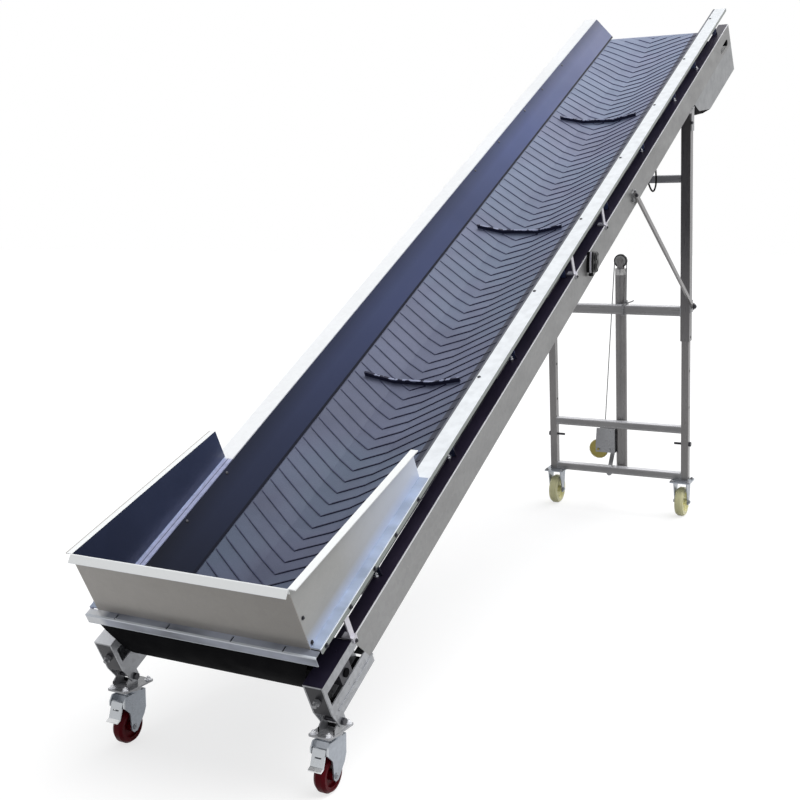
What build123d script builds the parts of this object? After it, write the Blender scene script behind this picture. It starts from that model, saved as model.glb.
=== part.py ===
from build123d import *
import math
import os

# A mobile trough belt conveyor in millimetres. X runs across the belt, Y from the
# feed end to the discharge end and Z up. Bed pieces are drawn flat, with Y along the
# bed and Z square to it, and then tilted. Portal pieces are drawn upright and leaned.

# Bed
INCLINE = 28.4
BED_HEIGHT = 368.0
BELT_WIDTH = 500.0
BELT_THICKNESS = 5.0
DRUM_CENTRES = 4445.0
TAIL_AXIS_S = 5.0
DRUM_RADIUS = 56.5
TAIL_DRUM_RADIUS = 37.5
DRUM_OVERHANG = 5.0
DRUM_SHAFT_RADIUS = 15.0
TAIL_SHAFT_RADIUS = 12.5
BELT_SET_DOWN = 12.5
TROUGH_FLAT = 150.0
TROUGH_EDGE_DROP = 10.6
TROUGH_ANGLE = 13.0
TRANSITION = 495.0
CLEAT_HEIGHT = 20.0
CLEAT_THICKNESS = 8.0
CLEAT_WIDTH = 370.0
CLEAT_FIRST = 180.0
CLEAT_PITCH = 1085.0
CLEATS = 4
RETURN_CLEATS = 3
RETURN_CLEAT_FIRST = 700.0
RIB_PITCH = 56.0
RIB_START = 15.0
RIB_WIDTH = 8.0
RIB_HEIGHT = 3.0
RIB_SLOPE = 0.68
RIB_INNER = 8.0
RIB_OUTER = 205.0

# Bed frame
FRAME_MARGIN = 126.0
CHANNEL_HEIGHT = 112.0
CHANNEL_FLANGE = 50.0
CHANNEL_SHEET = 3.0
CHANNEL_START = 68.0
CHANNEL_START_CUT = 50.0
CHANNEL_PAST_HEAD = 70.0
CHANNEL_END_CUT = 21.0
HEAD_SLOT_TRAVEL = 115.0
PAN_SHEET = 3.0
FORMER_THICKNESS = 5.0
FORMER_DEPTH = 88.0
FORMER_FIRST = 307.0
FORMER_PITCH = 540.0
FORMER_END_INSET = 20.0
ROLLER_RADIUS = 18.0
ROLLER_LENGTH = 50.0
ROLLER_STATIONS = 3
ROLLER_SHAFT_RADIUS = 6.0
BRACKET_SHEET = 4.0

# Side covers and feed hopper
RAIL_HEIGHT = 93.0
RAIL_WIDTH = 65.0
RAIL_OVERHANG = 4.0
RAIL_LIP = 12.0
COVER_SHEET = 3.0
SKIRT_FOOT_INSET = 14.0
SKIRT_FOOT_GAP = 2.5
SKIRT_TOP_FLANGE = 33.0
COVER_PAST_HEAD = 35.0
POST_WIDTH = 20.0
POST_THICKNESS = 4.0
POST_FOOT = 28.0
POST_HEAD = 20.0
POST_CLIP = 14.0
POST_STATIONS = (80.0, 1960.0, 2341.0)
HOPPER_FRONT_S = -62.0
HOPPER_LENGTH = 687.0
HOPPER_INSET = 28.0
HOPPER_FRONT_TOP = 300.0
HOPPER_BACK_TOP = 200.0
HOPPER_RIM = 20.0
HOPPER_SHELF = 22.0
HOPPER_LIP = 30.0
FLANGE_SLOTS = (-272.0, -95.0, 115.0, 276.0)
FLANGE_SLOT_WIDTH = 5.0
APRON_THICKNESS = 4.0
APRON_DRUM_GAP = 11.0

# Tail take-up frames and front feet
TAKEUP_SHEET = 4.0
TAKEUP_DEPTH = 56.0
TAKEUP_START = -102.0
TAKEUP_UNDER_CHANNEL = 12.0
TAKEUP_BAR = 29.0
TAKEUP_SLOT_START = -90.0
TAKEUP_SLOT_HEIGHT = 47.0
TAKEUP_END_PLATE = 106.0
TAKEUP_RIB = 3.0
BEARING_LENGTH = 56.0
BEARING_RECESS = 2.0
SCREW_RADIUS = 6.0
FOOT_AXIS_Y = 9.0
FOOT_AXIS_Z = 197.0
FOOT_BOLT_RADIUS = 6.0
FOOT_LUG_RADIUS = 16.0
FOOT_CHEEK_BEHIND = 33.0
FOOT_CHEEK_AHEAD = 16.0
FOOT_SHOULDER = 13.0

# Front swivel casters
FRONT_CASTER_INSET = 38.0
FRONT_WHEEL_RADIUS = 50.0
FRONT_WHEEL_WIDTH = 35.0
SWIVEL_Y = 14.0
SWIVEL_TRAIL = 18.0
TOP_PLATE_Z = 163.0
TOP_PLATE_THICKNESS = 5.0
TOP_PLATE_LENGTH = 124.0
TOP_PLATE_WIDTH = 70.0
TOP_PLATE_CORNER = 8.0
TOP_HOLE_WIDTH = 46.0
TOP_HOLE_LENGTH = 100.0
TOP_HOLE_RADIUS = 4.5
RACE_RADIUS = 32.0
RACE_HEIGHT = 7.0
KINGPIN_RADIUS = 6.0
FORK_SHEET = 4.0
FORK_HALF = 23.0
FORK_CROWN_DEPTH = 7.0
FRONT_AXLE_RADIUS = 6.0
PEDAL_WIDTH = 40.0
PEDAL_PIN_Y = -40.0
PEDAL_PIN_Z = 126.0

# Discharge end guard
GUARD_MOUTH = (-696.0, -112.0)
GUARD_KNEE = (-629.0, -174.0)
GUARD_BELLY = (-427.0, -252.0)
GUARD_TIP = (119.0, -264.0)
FLAP_THICKNESS = 3.0

# Portal
LEG_SETBACK = 750.5
LEAN = 5.6
LEG_INSET = 23.0
OUTER_TUBE = 46.0
OUTER_TUBE_END = 914.0
INNER_TUBE = 36.0
INNER_WALL = 3.0
TUBE_GAP = 0.5
INNER_TUBE_TOP = 1264.0
TOP_CROSS_DROP = 321.3
UPPER_CROSS_RISE = 150.0
MID_CROSS_V = 455.0
PIN_RADIUS = 6.0
PIN_HOLE_RADIUS = 7.0
PIN_HOLES = (380.0, 572.0, 760.0)
PIN_INNER = 39.0
PIN_HEAD_RADIUS = 12.0
LEG_BRACKET_HEIGHT = 96.0
LEG_BRACKET_AHEAD = 33.0
LEG_BRACKET_BEHIND = 45.0
BRACE_SPAN = 986.5
BRACE_TOP_N = -57.0
BRACE_FOOT_RISE = 24.0
BRACE_WIDTH = 20.0
BRACE_THICKNESS = 10.0
BRACE_BOLT_RADIUS = 5.0
PAD_THICKNESS = 5.0

# Rear fixed casters
REAR_CASTER_INSET = 36.0
REAR_CASTER_U = -14.0
REAR_WHEEL_RADIUS = 75.0
REAR_WHEEL_WIDTH = 42.0
REAR_CASTER_HEIGHT = 190.0
REAR_PLATE = 105.0
REAR_PLATE_THICKNESS = 5.0
REAR_HOLE_PITCH = 80.0
REAR_HOLE_RADIUS = 5.5
REAR_FORK_HALF = 30.0
REAR_FORK_SHEET = 5.0
REAR_AXLE_RADIUS = 8.0

# Mast, winch and hoist rope
MAST_RADIUS = 28.5
MAST_GAP = 11.0
PULLEY_V = 1303.0
PULLEY_ABOVE_MAST = 38.0
ROPE_RADIUS = 2.5
PULLEY_ROPE_RADIUS = 32.0
PULLEY_WIDTH = 14.0
PULLEY_PIN_RADIUS = 6.0
WINCH_X = -120.0
WINCH_V = 305.0
WINCH_HALF = 30.0
WINCH_SHEET = 4.0
WINCH_ROPE_RADIUS = 20.5
GEAR_RADIUS = 52.0
GEAR_TEETH = 40
GEAR_WIDTH = 10.0
PINION_X = -58.0
PINION_V = 305.0
CRANK_END_X = -88.0
CRANK_END_V = 153.0
GRIP_LENGTH = 90.0
GRIP_RADIUS = 14.0
ANCHOR_X = 36.0
ANCHOR_RISE = 41.0

# Switch box and motor cable
BOX_S = 2112.0
BOX_N = -37.0
BOX_WIDTH = 34.0
BOX_LENGTH = 70.0
BOX_HEIGHT = 68.0
CABLE_RADIUS = 4.0

# Clearances
SEAT_GAP = 0.3
BORE_GAP = 0.1
WHEEL_SIDE_GAP = 0.4

# Sizes that follow
BELT_HALF = BELT_WIDTH / 2
CHANNEL_OUT = BELT_HALF + FRAME_MARGIN
CHANNEL_IN = CHANNEL_OUT - CHANNEL_FLANGE
WEB_IN = CHANNEL_OUT - CHANNEL_SHEET
HEAD_AXIS_S = TAIL_AXIS_S + DRUM_CENTRES
CHANNEL_END = HEAD_AXIS_S + CHANNEL_PAST_HEAD
WRAP_RADIUS = DRUM_RADIUS + BELT_THICKNESS
TAIL_WRAP_RADIUS = TAIL_DRUM_RADIUS + BELT_THICKNESS
DRUM_AXIS_N = -(BELT_SET_DOWN + WRAP_RADIUS)
TAIL_AXIS_N = -(BELT_SET_DOWN + TAIL_WRAP_RADIUS)
RETURN_DIP = 2 * math.atan2(TAIL_AXIS_N - DRUM_AXIS_N, DRUM_CENTRES)
TROUGH_RISE = math.tan(math.radians(TROUGH_ANGLE))
TROUGH_HALF = TROUGH_FLAT / 2 + (BELT_HALF - TROUGH_FLAT / 2) * math.cos(math.radians(TROUGH_ANGLE))
TROUGH_DEPTH = TROUGH_EDGE_DROP + (TROUGH_HALF - TROUGH_FLAT / 2) * TROUGH_RISE
PAN_START = TAIL_AXIS_S + TRANSITION
PAN_END = HEAD_AXIS_S - TRANSITION
RAIL_OUT = CHANNEL_OUT + RAIL_OVERHANG
RAIL_IN = RAIL_OUT - RAIL_WIDTH
RAIL_TOP = RAIL_HEIGHT + COVER_SHEET
COVER_END = HEAD_AXIS_S + COVER_PAST_HEAD
HOPPER_HALF = CHANNEL_OUT - HOPPER_INSET
HOPPER_BACK_S = HOPPER_FRONT_S + HOPPER_LENGTH
TAKEUP_OUT = CHANNEL_OUT
TAKEUP_IN = TAKEUP_OUT - TAKEUP_DEPTH - TAKEUP_SHEET
TAKEUP_BOTTOM = CHANNEL_HEIGHT + TAKEUP_BAR
TAKEUP_END = CHANNEL_START + CHANNEL_START_CUT + TAKEUP_UNDER_CHANNEL
FRONT_CASTER_X = CHANNEL_OUT - FRONT_CASTER_INSET
REAR_CASTER_X = CHANNEL_OUT - REAR_CASTER_INSET
LEG_X = CHANNEL_OUT - LEG_INSET
SIN_INCLINE = math.sin(math.radians(INCLINE))
COS_INCLINE = math.cos(math.radians(INCLINE))
SIN_LEAN = math.sin(math.radians(LEAN))
COS_LEAN = math.cos(math.radians(LEAN))
LEG_TOP_S = HEAD_AXIS_S - LEG_SETBACK
LEG_TOP_N = -CHANNEL_HEIGHT - PAD_THICKNESS
LEG_TOP_Y = LEG_TOP_S * COS_INCLINE - LEG_TOP_N * SIN_INCLINE
LEG_TOP_V = (BED_HEIGHT + LEG_TOP_S * SIN_INCLINE + LEG_TOP_N * COS_INCLINE) / COS_LEAN
PORTAL_FOOT_Y = LEG_TOP_Y + LEG_TOP_V * SIN_LEAN
TOP_CROSS_V = LEG_TOP_V - TOP_CROSS_DROP
UPPER_CROSS_V = OUTER_TUBE_END + UPPER_CROSS_RISE
BRACE_TOP_S = LEG_TOP_S - BRACE_SPAN
BRACE_FOOT_V = UPPER_CROSS_V + BRACE_FOOT_RISE
REAR_AXLE_V = (REAR_WHEEL_RADIUS - REAR_CASTER_U * SIN_LEAN) / COS_LEAN
BOTTOM_CROSS_V = REAR_CASTER_HEIGHT + INNER_TUBE / 2
MAST_U = INNER_TUBE / 2 + MAST_GAP + MAST_RADIUS
MAST_TOP = PULLEY_V - PULLEY_ABOVE_MAST
ANCHOR_V = UPPER_CROSS_V + ANCHOR_RISE
FORMER_START = TAIL_AXIS_S + FORMER_FIRST
FORMER_LAST = PAN_END - FORMER_END_INSET
FORMERS = int((FORMER_LAST - FORMER_START) / FORMER_PITCH) + 1
FORMER_STATIONS = [FORMER_START + k * FORMER_PITCH for k in range(FORMERS)] + [FORMER_LAST]


def block(x0, x1, y0, y1, z0, z1):
    """A box between two corners."""
    centre = Pos((x0 + x1) / 2, (y0 + y1) / 2, (z0 + z1) / 2)
    return centre * Box(abs(x1 - x0), abs(y1 - y0), abs(z1 - z0))


def rod_x(x0, x1, y, z, radius):
    """A round bar along X."""
    return Pos((x0 + x1) / 2, y, z) * Rot(Y=90) * Cylinder(radius, abs(x1 - x0))


def rod_y(x, y0, y1, z, radius):
    """A round bar along Y."""
    return Pos(x, (y0 + y1) / 2, z) * Rot(X=90) * Cylinder(radius, abs(y1 - y0))


def rod_z(x, y, z0, z1, radius):
    """A round bar along Z."""
    return Pos(x, y, (z0 + z1) / 2) * Cylinder(radius, abs(z1 - z0))


def side_plate(points, x0, x1):
    """An outline of (y, z) points drawn out along X."""
    outline = make_face(Polyline(*[(x0, y, z) for y, z in points], close=True))
    return extrude(outline, x1 - x0, dir=(1, 0, 0))


def cross_plate(points, y0, y1):
    """An outline of (x, z) points drawn out along Y."""
    outline = make_face(Polyline(*[(x, y0, z) for x, z in points], close=True))
    return extrude(outline, y1 - y0, dir=(0, 1, 0))


def slot_x(x0, x1, y0, y1, z, half):
    """A slot tool along X with round ends, from y0 to y1 over all."""
    middle = block(x0, x1, y0 + half, y1 - half, z - half, z + half)
    return middle + rod_x(x0, x1, y0 + half, z, half) + rod_x(x0, x1, y1 - half, z, half)


def other_side(part):
    """The mirror image on the other side of the belt's centre line."""
    return mirror(part, about=Plane.YZ)


def both_sides(part):
    """The piece and its mirror image."""
    return Part() + [part, other_side(part)]


def tilt(part):
    """From the flat bed to its place on the incline."""
    return Pos(0, 0, BED_HEIGHT) * Rot(X=INCLINE) * part


def lean(part):
    """From the upright portal to its place under the bed."""
    return Pos(0, PORTAL_FOOT_Y, 0) * Rot(X=LEAN) * part


def bed_place(s, n):
    """World (y, z) of a point of the bed's side view."""
    return s * COS_INCLINE - n * SIN_INCLINE, BED_HEIGHT + s * SIN_INCLINE + n * COS_INCLINE


def into_bed(y, z):
    """Bed (s, n) of a point of the world's side view."""
    rise = z - BED_HEIGHT
    return y * COS_INCLINE + rise * SIN_INCLINE, rise * COS_INCLINE - y * SIN_INCLINE


def side_channels():
    """Folded channels, open towards the belt, with a slot for the head shaft."""
    outline = [
        (CHANNEL_START, 0),
        (CHANNEL_END, 0),
        (CHANNEL_END + CHANNEL_END_CUT, -CHANNEL_HEIGHT),
        (CHANNEL_START + CHANNEL_START_CUT, -CHANNEL_HEIGHT),
    ]
    inside = block(
        CHANNEL_IN - 1, WEB_IN, CHANNEL_START - 1, CHANNEL_END + CHANNEL_END_CUT + 1,
        CHANNEL_SHEET - CHANNEL_HEIGHT, -CHANNEL_SHEET,
    )
    half = DRUM_SHAFT_RADIUS + SEAT_GAP
    slot_end = HEAD_AXIS_S + half + CHANNEL_SHEET
    slot_start = slot_end - HEAD_SLOT_TRAVEL - 2 * half
    slot = slot_x(WEB_IN - 1, CHANNEL_OUT + 1, slot_start, slot_end, DRUM_AXIS_N, half)
    channel = side_plate(outline, CHANNEL_IN, CHANNEL_OUT) - inside - slot
    return tilt(channel), tilt(other_side(channel))


def trough_line(drop, half):
    """Half points (x, n) of the troughed belt's top face, lowered by drop."""
    centre = -TROUGH_DEPTH - drop
    return [(TROUGH_FLAT / 2, centre), (half, centre + (half - TROUGH_FLAT / 2) * TROUGH_RISE)]


def slider_pan():
    """The troughed sheet that the carrying run slides on."""
    half = BELT_HALF + 2
    top = trough_line(BELT_THICKNESS + SEAT_GAP, half)
    under = trough_line(BELT_THICKNESS + SEAT_GAP + PAN_SHEET, half)
    points = [(-x, n) for x, n in top[::-1]] + top + under[::-1] + [(-x, n) for x, n in under]
    return tilt(cross_plate(points, PAN_START, PAN_END))


def cross_formers():
    """Cross plates between the channels that carry the pan."""
    under = trough_line(BELT_THICKNESS + SEAT_GAP + PAN_SHEET, BELT_HALF + 2)
    flange = -CHANNEL_SHEET
    right = under + [(CHANNEL_IN - 25, flange), (WEB_IN, flange), (WEB_IN, -FORMER_DEPTH)]
    points = [(-x, n) for x, n in right[::-1]] + right
    plate = cross_plate(points, -FORMER_THICKNESS / 2, FORMER_THICKNESS / 2)
    return tilt(Part() + [Pos(0, s, 0) * plate for s in FORMER_STATIONS])


def return_n(s):
    """Height of the return run's lower face at s."""
    tail = TAIL_AXIS_N - TAIL_WRAP_RADIUS / math.cos(RETURN_DIP)
    return tail - (s - TAIL_AXIS_S) * math.tan(RETURN_DIP)


def roller_pair(s):
    """The two stub rollers at s, each on a bracket with a pin."""
    axis_n = return_n(s) - ROLLER_RADIUS - 2 * SEAT_GAP
    inner = CLEAT_WIDTH / 2 + 12
    outer = inner + ROLLER_LENGTH
    plate_x = BELT_HALF + 12
    half = 20.0
    under = -CHANNEL_HEIGHT
    bracket = block(plate_x, WEB_IN, s - half, s + half, under - BRACKET_SHEET, under)
    bracket += block(plate_x, plate_x + BRACKET_SHEET, s - half, s + half, axis_n - half, under)
    bracket += rod_x(inner - 3, plate_x, s, axis_n, ROLLER_SHAFT_RADIUS)
    roller = rod_x(inner, outer, s, axis_n, ROLLER_RADIUS)
    roller -= rod_x(inner - 1, outer + 1, s, axis_n, ROLLER_SHAFT_RADIUS + BORE_GAP)
    return [bracket, other_side(bracket), roller, other_side(roller)]


def return_rollers():
    """Stub rollers beside the cleats of the return run."""
    stations = [FORMER_STATIONS[1] + FORMER_PITCH / 2 + 2 * k * FORMER_PITCH for k in range(ROLLER_STATIONS)]
    return tilt(Part() + [piece for s in stations for piece in roller_pair(s)])


# Belt and drums

def belt_section(s, depth, half, centre):
    """A cross-section of the carrying run at s, as a face."""
    flat = TROUGH_FLAT / 2
    top = [(-half, -depth), (-flat, centre), (flat, centre), (half, -depth)]
    under = [(x, n - BELT_THICKNESS) for x, n in top[::-1]]
    return make_face(Polyline(*[(x, s, n) for x, n in top + under], close=True))


def belt_wrap(s, n, radius, side):
    """The belt round a drum, from the carrying run to where the return run leaves."""
    reach = radius + 2 * BELT_THICKNESS
    foot = (s - reach * math.sin(RETURN_DIP), n - reach * math.cos(RETURN_DIP))
    keep = [(s, n), (s, n + reach), (s + side * reach, n + reach), (s + side * reach, foot[1]), foot]
    wrap = rod_x(-BELT_HALF, BELT_HALF, s, n, radius)
    wrap -= rod_x(-BELT_HALF - 1, BELT_HALF + 1, s, n, radius - BELT_THICKNESS)
    return wrap & side_plate(keep, -BELT_HALF - 1, BELT_HALF + 1)


def return_run():
    """The flat run under the bed, tangent to both drums."""
    points = []
    for s, n, radius in (
        (TAIL_AXIS_S, TAIL_AXIS_N, TAIL_WRAP_RADIUS),
        (HEAD_AXIS_S, DRUM_AXIS_N, WRAP_RADIUS),
    ):
        for r in (radius, radius - BELT_THICKNESS):
            points.append((s - r * math.sin(RETURN_DIP), n - r * math.cos(RETURN_DIP)))
    return side_plate([points[0], points[2], points[3], points[1]], -BELT_HALF, BELT_HALF)


def belt_ribs():
    """Herringbone ribs on the troughed part of the carrying run."""
    half = RIB_WIDTH / 2
    rise = (RIB_OUTER - RIB_INNER) * RIB_SLOPE
    arm = [
        (RIB_INNER, -half),
        (RIB_OUTER, rise - half),
        (RIB_OUTER, rise + half),
        (RIB_INNER, half),
    ]
    floor = -TROUGH_DEPTH - BELT_THICKNESS
    face = make_face(Polyline(*[(x, y, floor) for x, y in arm], close=True))
    rib = extrude(face, -floor, dir=(0, 0, 1))
    count = int((PAN_END - PAN_START - RIB_START - rise - half) / RIB_PITCH) + 1
    stations = [PAN_START + RIB_START + k * RIB_PITCH for k in range(count)]
    ribs = Part() + [Pos(0, s, 0) * piece for s in stations for piece in (rib, other_side(rib))]
    low = trough_line(BELT_THICKNESS / 4, RIB_OUTER + half)
    high = trough_line(-RIB_HEIGHT, RIB_OUTER + half)
    band = [(-x, n) for x, n in high[::-1]] + high + low[::-1] + [(-x, n) for x, n in low]
    return ribs & cross_plate(band, PAN_START, PAN_END)


def belt():
    """One endless belt, troughed on its carrying run, with its ribs and cross cleats."""
    edge = -trough_line(0, TROUGH_HALF)[1][1]
    drum_face = (BELT_SET_DOWN, BELT_HALF, -BELT_SET_DOWN)
    trough_face = (edge, TROUGH_HALF, -TROUGH_DEPTH)
    loop = loft([belt_section(TAIL_AXIS_S, *drum_face), belt_section(PAN_START, *trough_face)], ruled=True)
    loop += loft([belt_section(PAN_START, *trough_face), belt_section(PAN_END, *trough_face)], ruled=True)
    loop += loft([belt_section(PAN_END, *trough_face), belt_section(HEAD_AXIS_S, *drum_face)], ruled=True)
    loop += return_run()
    loop += belt_wrap(TAIL_AXIS_S, TAIL_AXIS_N, TAIL_WRAP_RADIUS, -1)
    loop += belt_wrap(HEAD_AXIS_S, DRUM_AXIS_N, WRAP_RADIUS, 1)
    for k in range(1, CLEATS):
        loop += carrying_cleat(TAIL_AXIS_S + CLEAT_FIRST + k * CLEAT_PITCH)
    for k in range(RETURN_CLEATS):
        loop += return_cleat(TAIL_AXIS_S + RETURN_CLEAT_FIRST + k * CLEAT_PITCH)
    return tilt(loop + belt_ribs())


def carrying_cleat(s):
    """A cross cleat that follows the trough."""
    half = CLEAT_WIDTH / 2
    low = trough_line(BELT_THICKNESS / 2, half)
    high = trough_line(-CLEAT_HEIGHT, half)
    points = [(-x, n) for x, n in high[::-1]] + high + low[::-1] + [(-x, n) for x, n in low]
    return cross_plate(points, s - CLEAT_THICKNESS / 2, s + CLEAT_THICKNESS / 2)


def return_cleat(s):
    """A cross cleat under the return run."""
    half = CLEAT_WIDTH / 2
    low = return_n(s)
    return block(
        -half, half, s - CLEAT_THICKNESS / 2, s + CLEAT_THICKNESS / 2,
        low - CLEAT_HEIGHT, low + BELT_THICKNESS / 2,
    )


def drum(s, n, radius, shaft_reach, shaft_radius):
    """A drum with its shaft."""
    reach = BELT_HALF + DRUM_OVERHANG
    shell = rod_x(-reach, reach, s, n, radius - SEAT_GAP)
    shell = chamfer(shell.edges().filter_by(GeomType.CIRCLE), 3)
    return tilt(shell + rod_x(-shaft_reach, shaft_reach, s, n, shaft_radius))


# Side covers and feed hopper

def cover_rails():
    """Flat rails along both sides, with a lip turned down outside."""
    start = HOPPER_FRONT_S + COVER_SHEET
    rail = block(RAIL_IN, RAIL_OUT, start, COVER_END, RAIL_HEIGHT, RAIL_TOP)
    lip_low = RAIL_TOP - COVER_SHEET - RAIL_LIP
    rail += block(RAIL_OUT - COVER_SHEET, RAIL_OUT, start, COVER_END, lip_low, RAIL_TOP)
    return tilt(both_sides(rail))


def skirt_x(n, outside=0.0):
    """X of the skirt's inner face at height n, or of its outer face."""
    foot = BELT_HALF - SKIRT_FOOT_INSET
    low = SKIRT_FOOT_GAP - BELT_SET_DOWN
    run = RAIL_IN - COVER_SHEET - foot
    rise = RAIL_HEIGHT - low
    return foot + (n - low) * run / rise + outside * COVER_SHEET * math.hypot(run, rise) / rise


def skirts():
    """Inclined side walls, hung under the rails, that end just above the belt."""
    low = SKIRT_FOOT_GAP - BELT_SET_DOWN
    fold = RAIL_HEIGHT - COVER_SHEET
    flange_end = skirt_x(RAIL_HEIGHT) + SKIRT_TOP_FLANGE
    points = [
        (skirt_x(low), low),
        (skirt_x(RAIL_HEIGHT), RAIL_HEIGHT),
        (flange_end, RAIL_HEIGHT),
        (flange_end, fold),
        (skirt_x(fold, 1), fold),
        (skirt_x(low, 1), low),
    ]
    wall = cross_plate(points, HOPPER_FRONT_S + COVER_SHEET, COVER_END)
    return tilt(both_sides(wall))


def skirt_brackets():
    """Gussets that stand on the channels and carry skirt and rail."""
    fold = RAIL_HEIGHT - COVER_SHEET
    low = 30.0
    foot = CHANNEL_IN + 4
    points = [
        (foot, 0),
        (foot + 22, 0),
        (RAIL_IN + 19, fold),
        (skirt_x(fold, 1), fold),
        (skirt_x(low, 1), low),
    ]
    gusset = cross_plate(points, -BRACKET_SHEET / 2, BRACKET_SHEET / 2)
    stations = FORMER_STATIONS + [HEAD_AXIS_S - 70]
    return tilt(both_sides(Part() + [Pos(0, s, 0) * gusset for s in stations]))


def rail_posts():
    """Flat posts with folded feet between channel and rail."""
    out = CHANNEL_OUT - CHANNEL_SHEET
    half = POST_WIDTH / 2
    edge = CHANNEL_OUT + POST_THICKNESS
    post = block(out - POST_THICKNESS, out, -half, half, 0, RAIL_HEIGHT)
    post += block(out - POST_FOOT, edge, -half, half, 0, POST_THICKNESS)
    post += block(CHANNEL_OUT, edge, -half, half, -POST_CLIP, POST_THICKNESS)
    post += block(out - POST_HEAD, out, -half, half, RAIL_HEIGHT - POST_THICKNESS, RAIL_HEIGHT)
    return tilt(both_sides(Part() + [Pos(0, s, 0) * post for s in POST_STATIONS]))


def hopper_front():
    """Front wall with a folded rim, and a slotted shelf with a lip along its foot."""
    s = HOPPER_FRONT_S
    t = COVER_SHEET
    fold = RAIL_HEIGHT
    top = HOPPER_FRONT_TOP
    rim = HOPPER_RIM
    profile = [
        (s + t, fold),
        (s + t, top),
        (s, top),
        (s - rim, top - rim * 0.65),
        (s - rim + t * 0.6, top - rim * 0.65 - t * 0.8),
        (s, top - t * 1.2),
        (s, fold),
    ]
    edge = s - HOPPER_SHELF
    shelf = [
        (s, fold), (s, fold - t), (edge, fold - t), (edge, fold - HOPPER_LIP),
        (edge - t, fold - HOPPER_LIP), (edge - t, fold),
    ]
    wall = side_plate(profile, -HOPPER_HALF, HOPPER_HALF)
    corner = [(s + t, fold - t), (s + t, fold), (s, fold), (s, fold - t)]
    wall += side_plate(corner, -HOPPER_HALF, HOPPER_HALF)
    wall += side_plate(shelf, -CHANNEL_OUT, CHANNEL_OUT)
    half = FLANGE_SLOT_WIDTH / 2
    for x in FLANGE_SLOTS:
        wall -= block(x - half, x + half, edge, s - t, fold - t - 1, fold + 1)
    return tilt(wall)


def hopper_sides():
    """Side walls that stand on the rails, with rims folded outwards."""
    s = HOPPER_FRONT_S + COVER_SHEET
    t = COVER_SHEET
    back = HOPPER_BACK_S
    inner = HOPPER_HALF - t
    front_top = HOPPER_FRONT_TOP
    back_top = HOPPER_BACK_TOP
    wall = side_plate([(s, RAIL_TOP), (back, RAIL_TOP), (back, back_top), (s, front_top)], inner, HOPPER_HALF)
    rim = [(s, front_top - t), (back, back_top - t), (back, back_top), (s, front_top)]
    wall += side_plate(rim, inner, HOPPER_HALF + HOPPER_RIM)
    wall += block(inner, CHANNEL_OUT, s, back, RAIL_TOP, RAIL_TOP + t)
    return tilt(both_sides(wall))


def tail_apron():
    """Rubber plate that closes the trough, and the curtain that hangs in front of the tail drum."""
    low = BELT_SET_DOWN * -0.5
    s = HOPPER_FRONT_S + COVER_SHEET
    top = RAIL_HEIGHT
    points = [(-skirt_x(low), low), (-skirt_x(top), top), (skirt_x(top), top), (skirt_x(low), low)]
    return tilt(Part() + [cross_plate(points, s, s + APRON_THICKNESS), tail_curtain()])


def tail_curtain():
    """Rubber curtain from the hopper's lip down and round the belt's tail."""
    t = APRON_THICKNESS
    lip = HOPPER_FRONT_S - HOPPER_SHELF + SEAT_GAP
    top = RAIL_HEIGHT - COVER_SHEET - SEAT_GAP
    lip_foot = RAIL_HEIGHT - HOPPER_LIP
    near = TAIL_WRAP_RADIUS + APRON_DRUM_GAP
    under = math.radians(240)
    end = (TAIL_AXIS_S + (near + t) * math.cos(under), TAIL_AXIS_N + (near + t) * math.sin(under))
    inner_end = (TAIL_AXIS_S + near * math.cos(under), TAIL_AXIS_N + near * math.sin(under))
    outer = Spline(
        (0, lip, lip_foot), (0, TAIL_AXIS_S - near - 4 * t, TAIL_AXIS_N + t), (0, *end),
        tangents=[(0, 0, -1), (0, 1, -0.55)],
    )
    inner = Spline(
        (0, *inner_end), (0, TAIL_AXIS_S - near - 3 * t, TAIL_AXIS_N + t), (0, lip + t, lip_foot),
        tangents=[(0, -1, 0.55), (0, 0, 1)],
    )
    sides = [
        Polyline((0, lip + t, lip_foot), (0, lip + t, top), (0, lip, top), (0, lip, lip_foot)),
        Line((0, *end), (0, *inner_end)),
    ]
    profile = make_face([outer, inner] + sides)
    sheet = extrude(profile, HOPPER_HALF, dir=(1, 0, 0))
    sheet += other_side(sheet)
    wide = HOPPER_HALF - 2 * t
    narrow = TAKEUP_IN - t
    half = [(wide, top), (wide, lip_foot), (narrow, 0), (narrow - 4 * t, -TAKEUP_BOTTOM)]
    outline = half + [(-x, n) for x, n in half[::-1]]
    return sheet & cross_plate(outline, lip - 4 * t, TAIL_AXIS_S)


# Tail take-up frames and front feet

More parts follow.
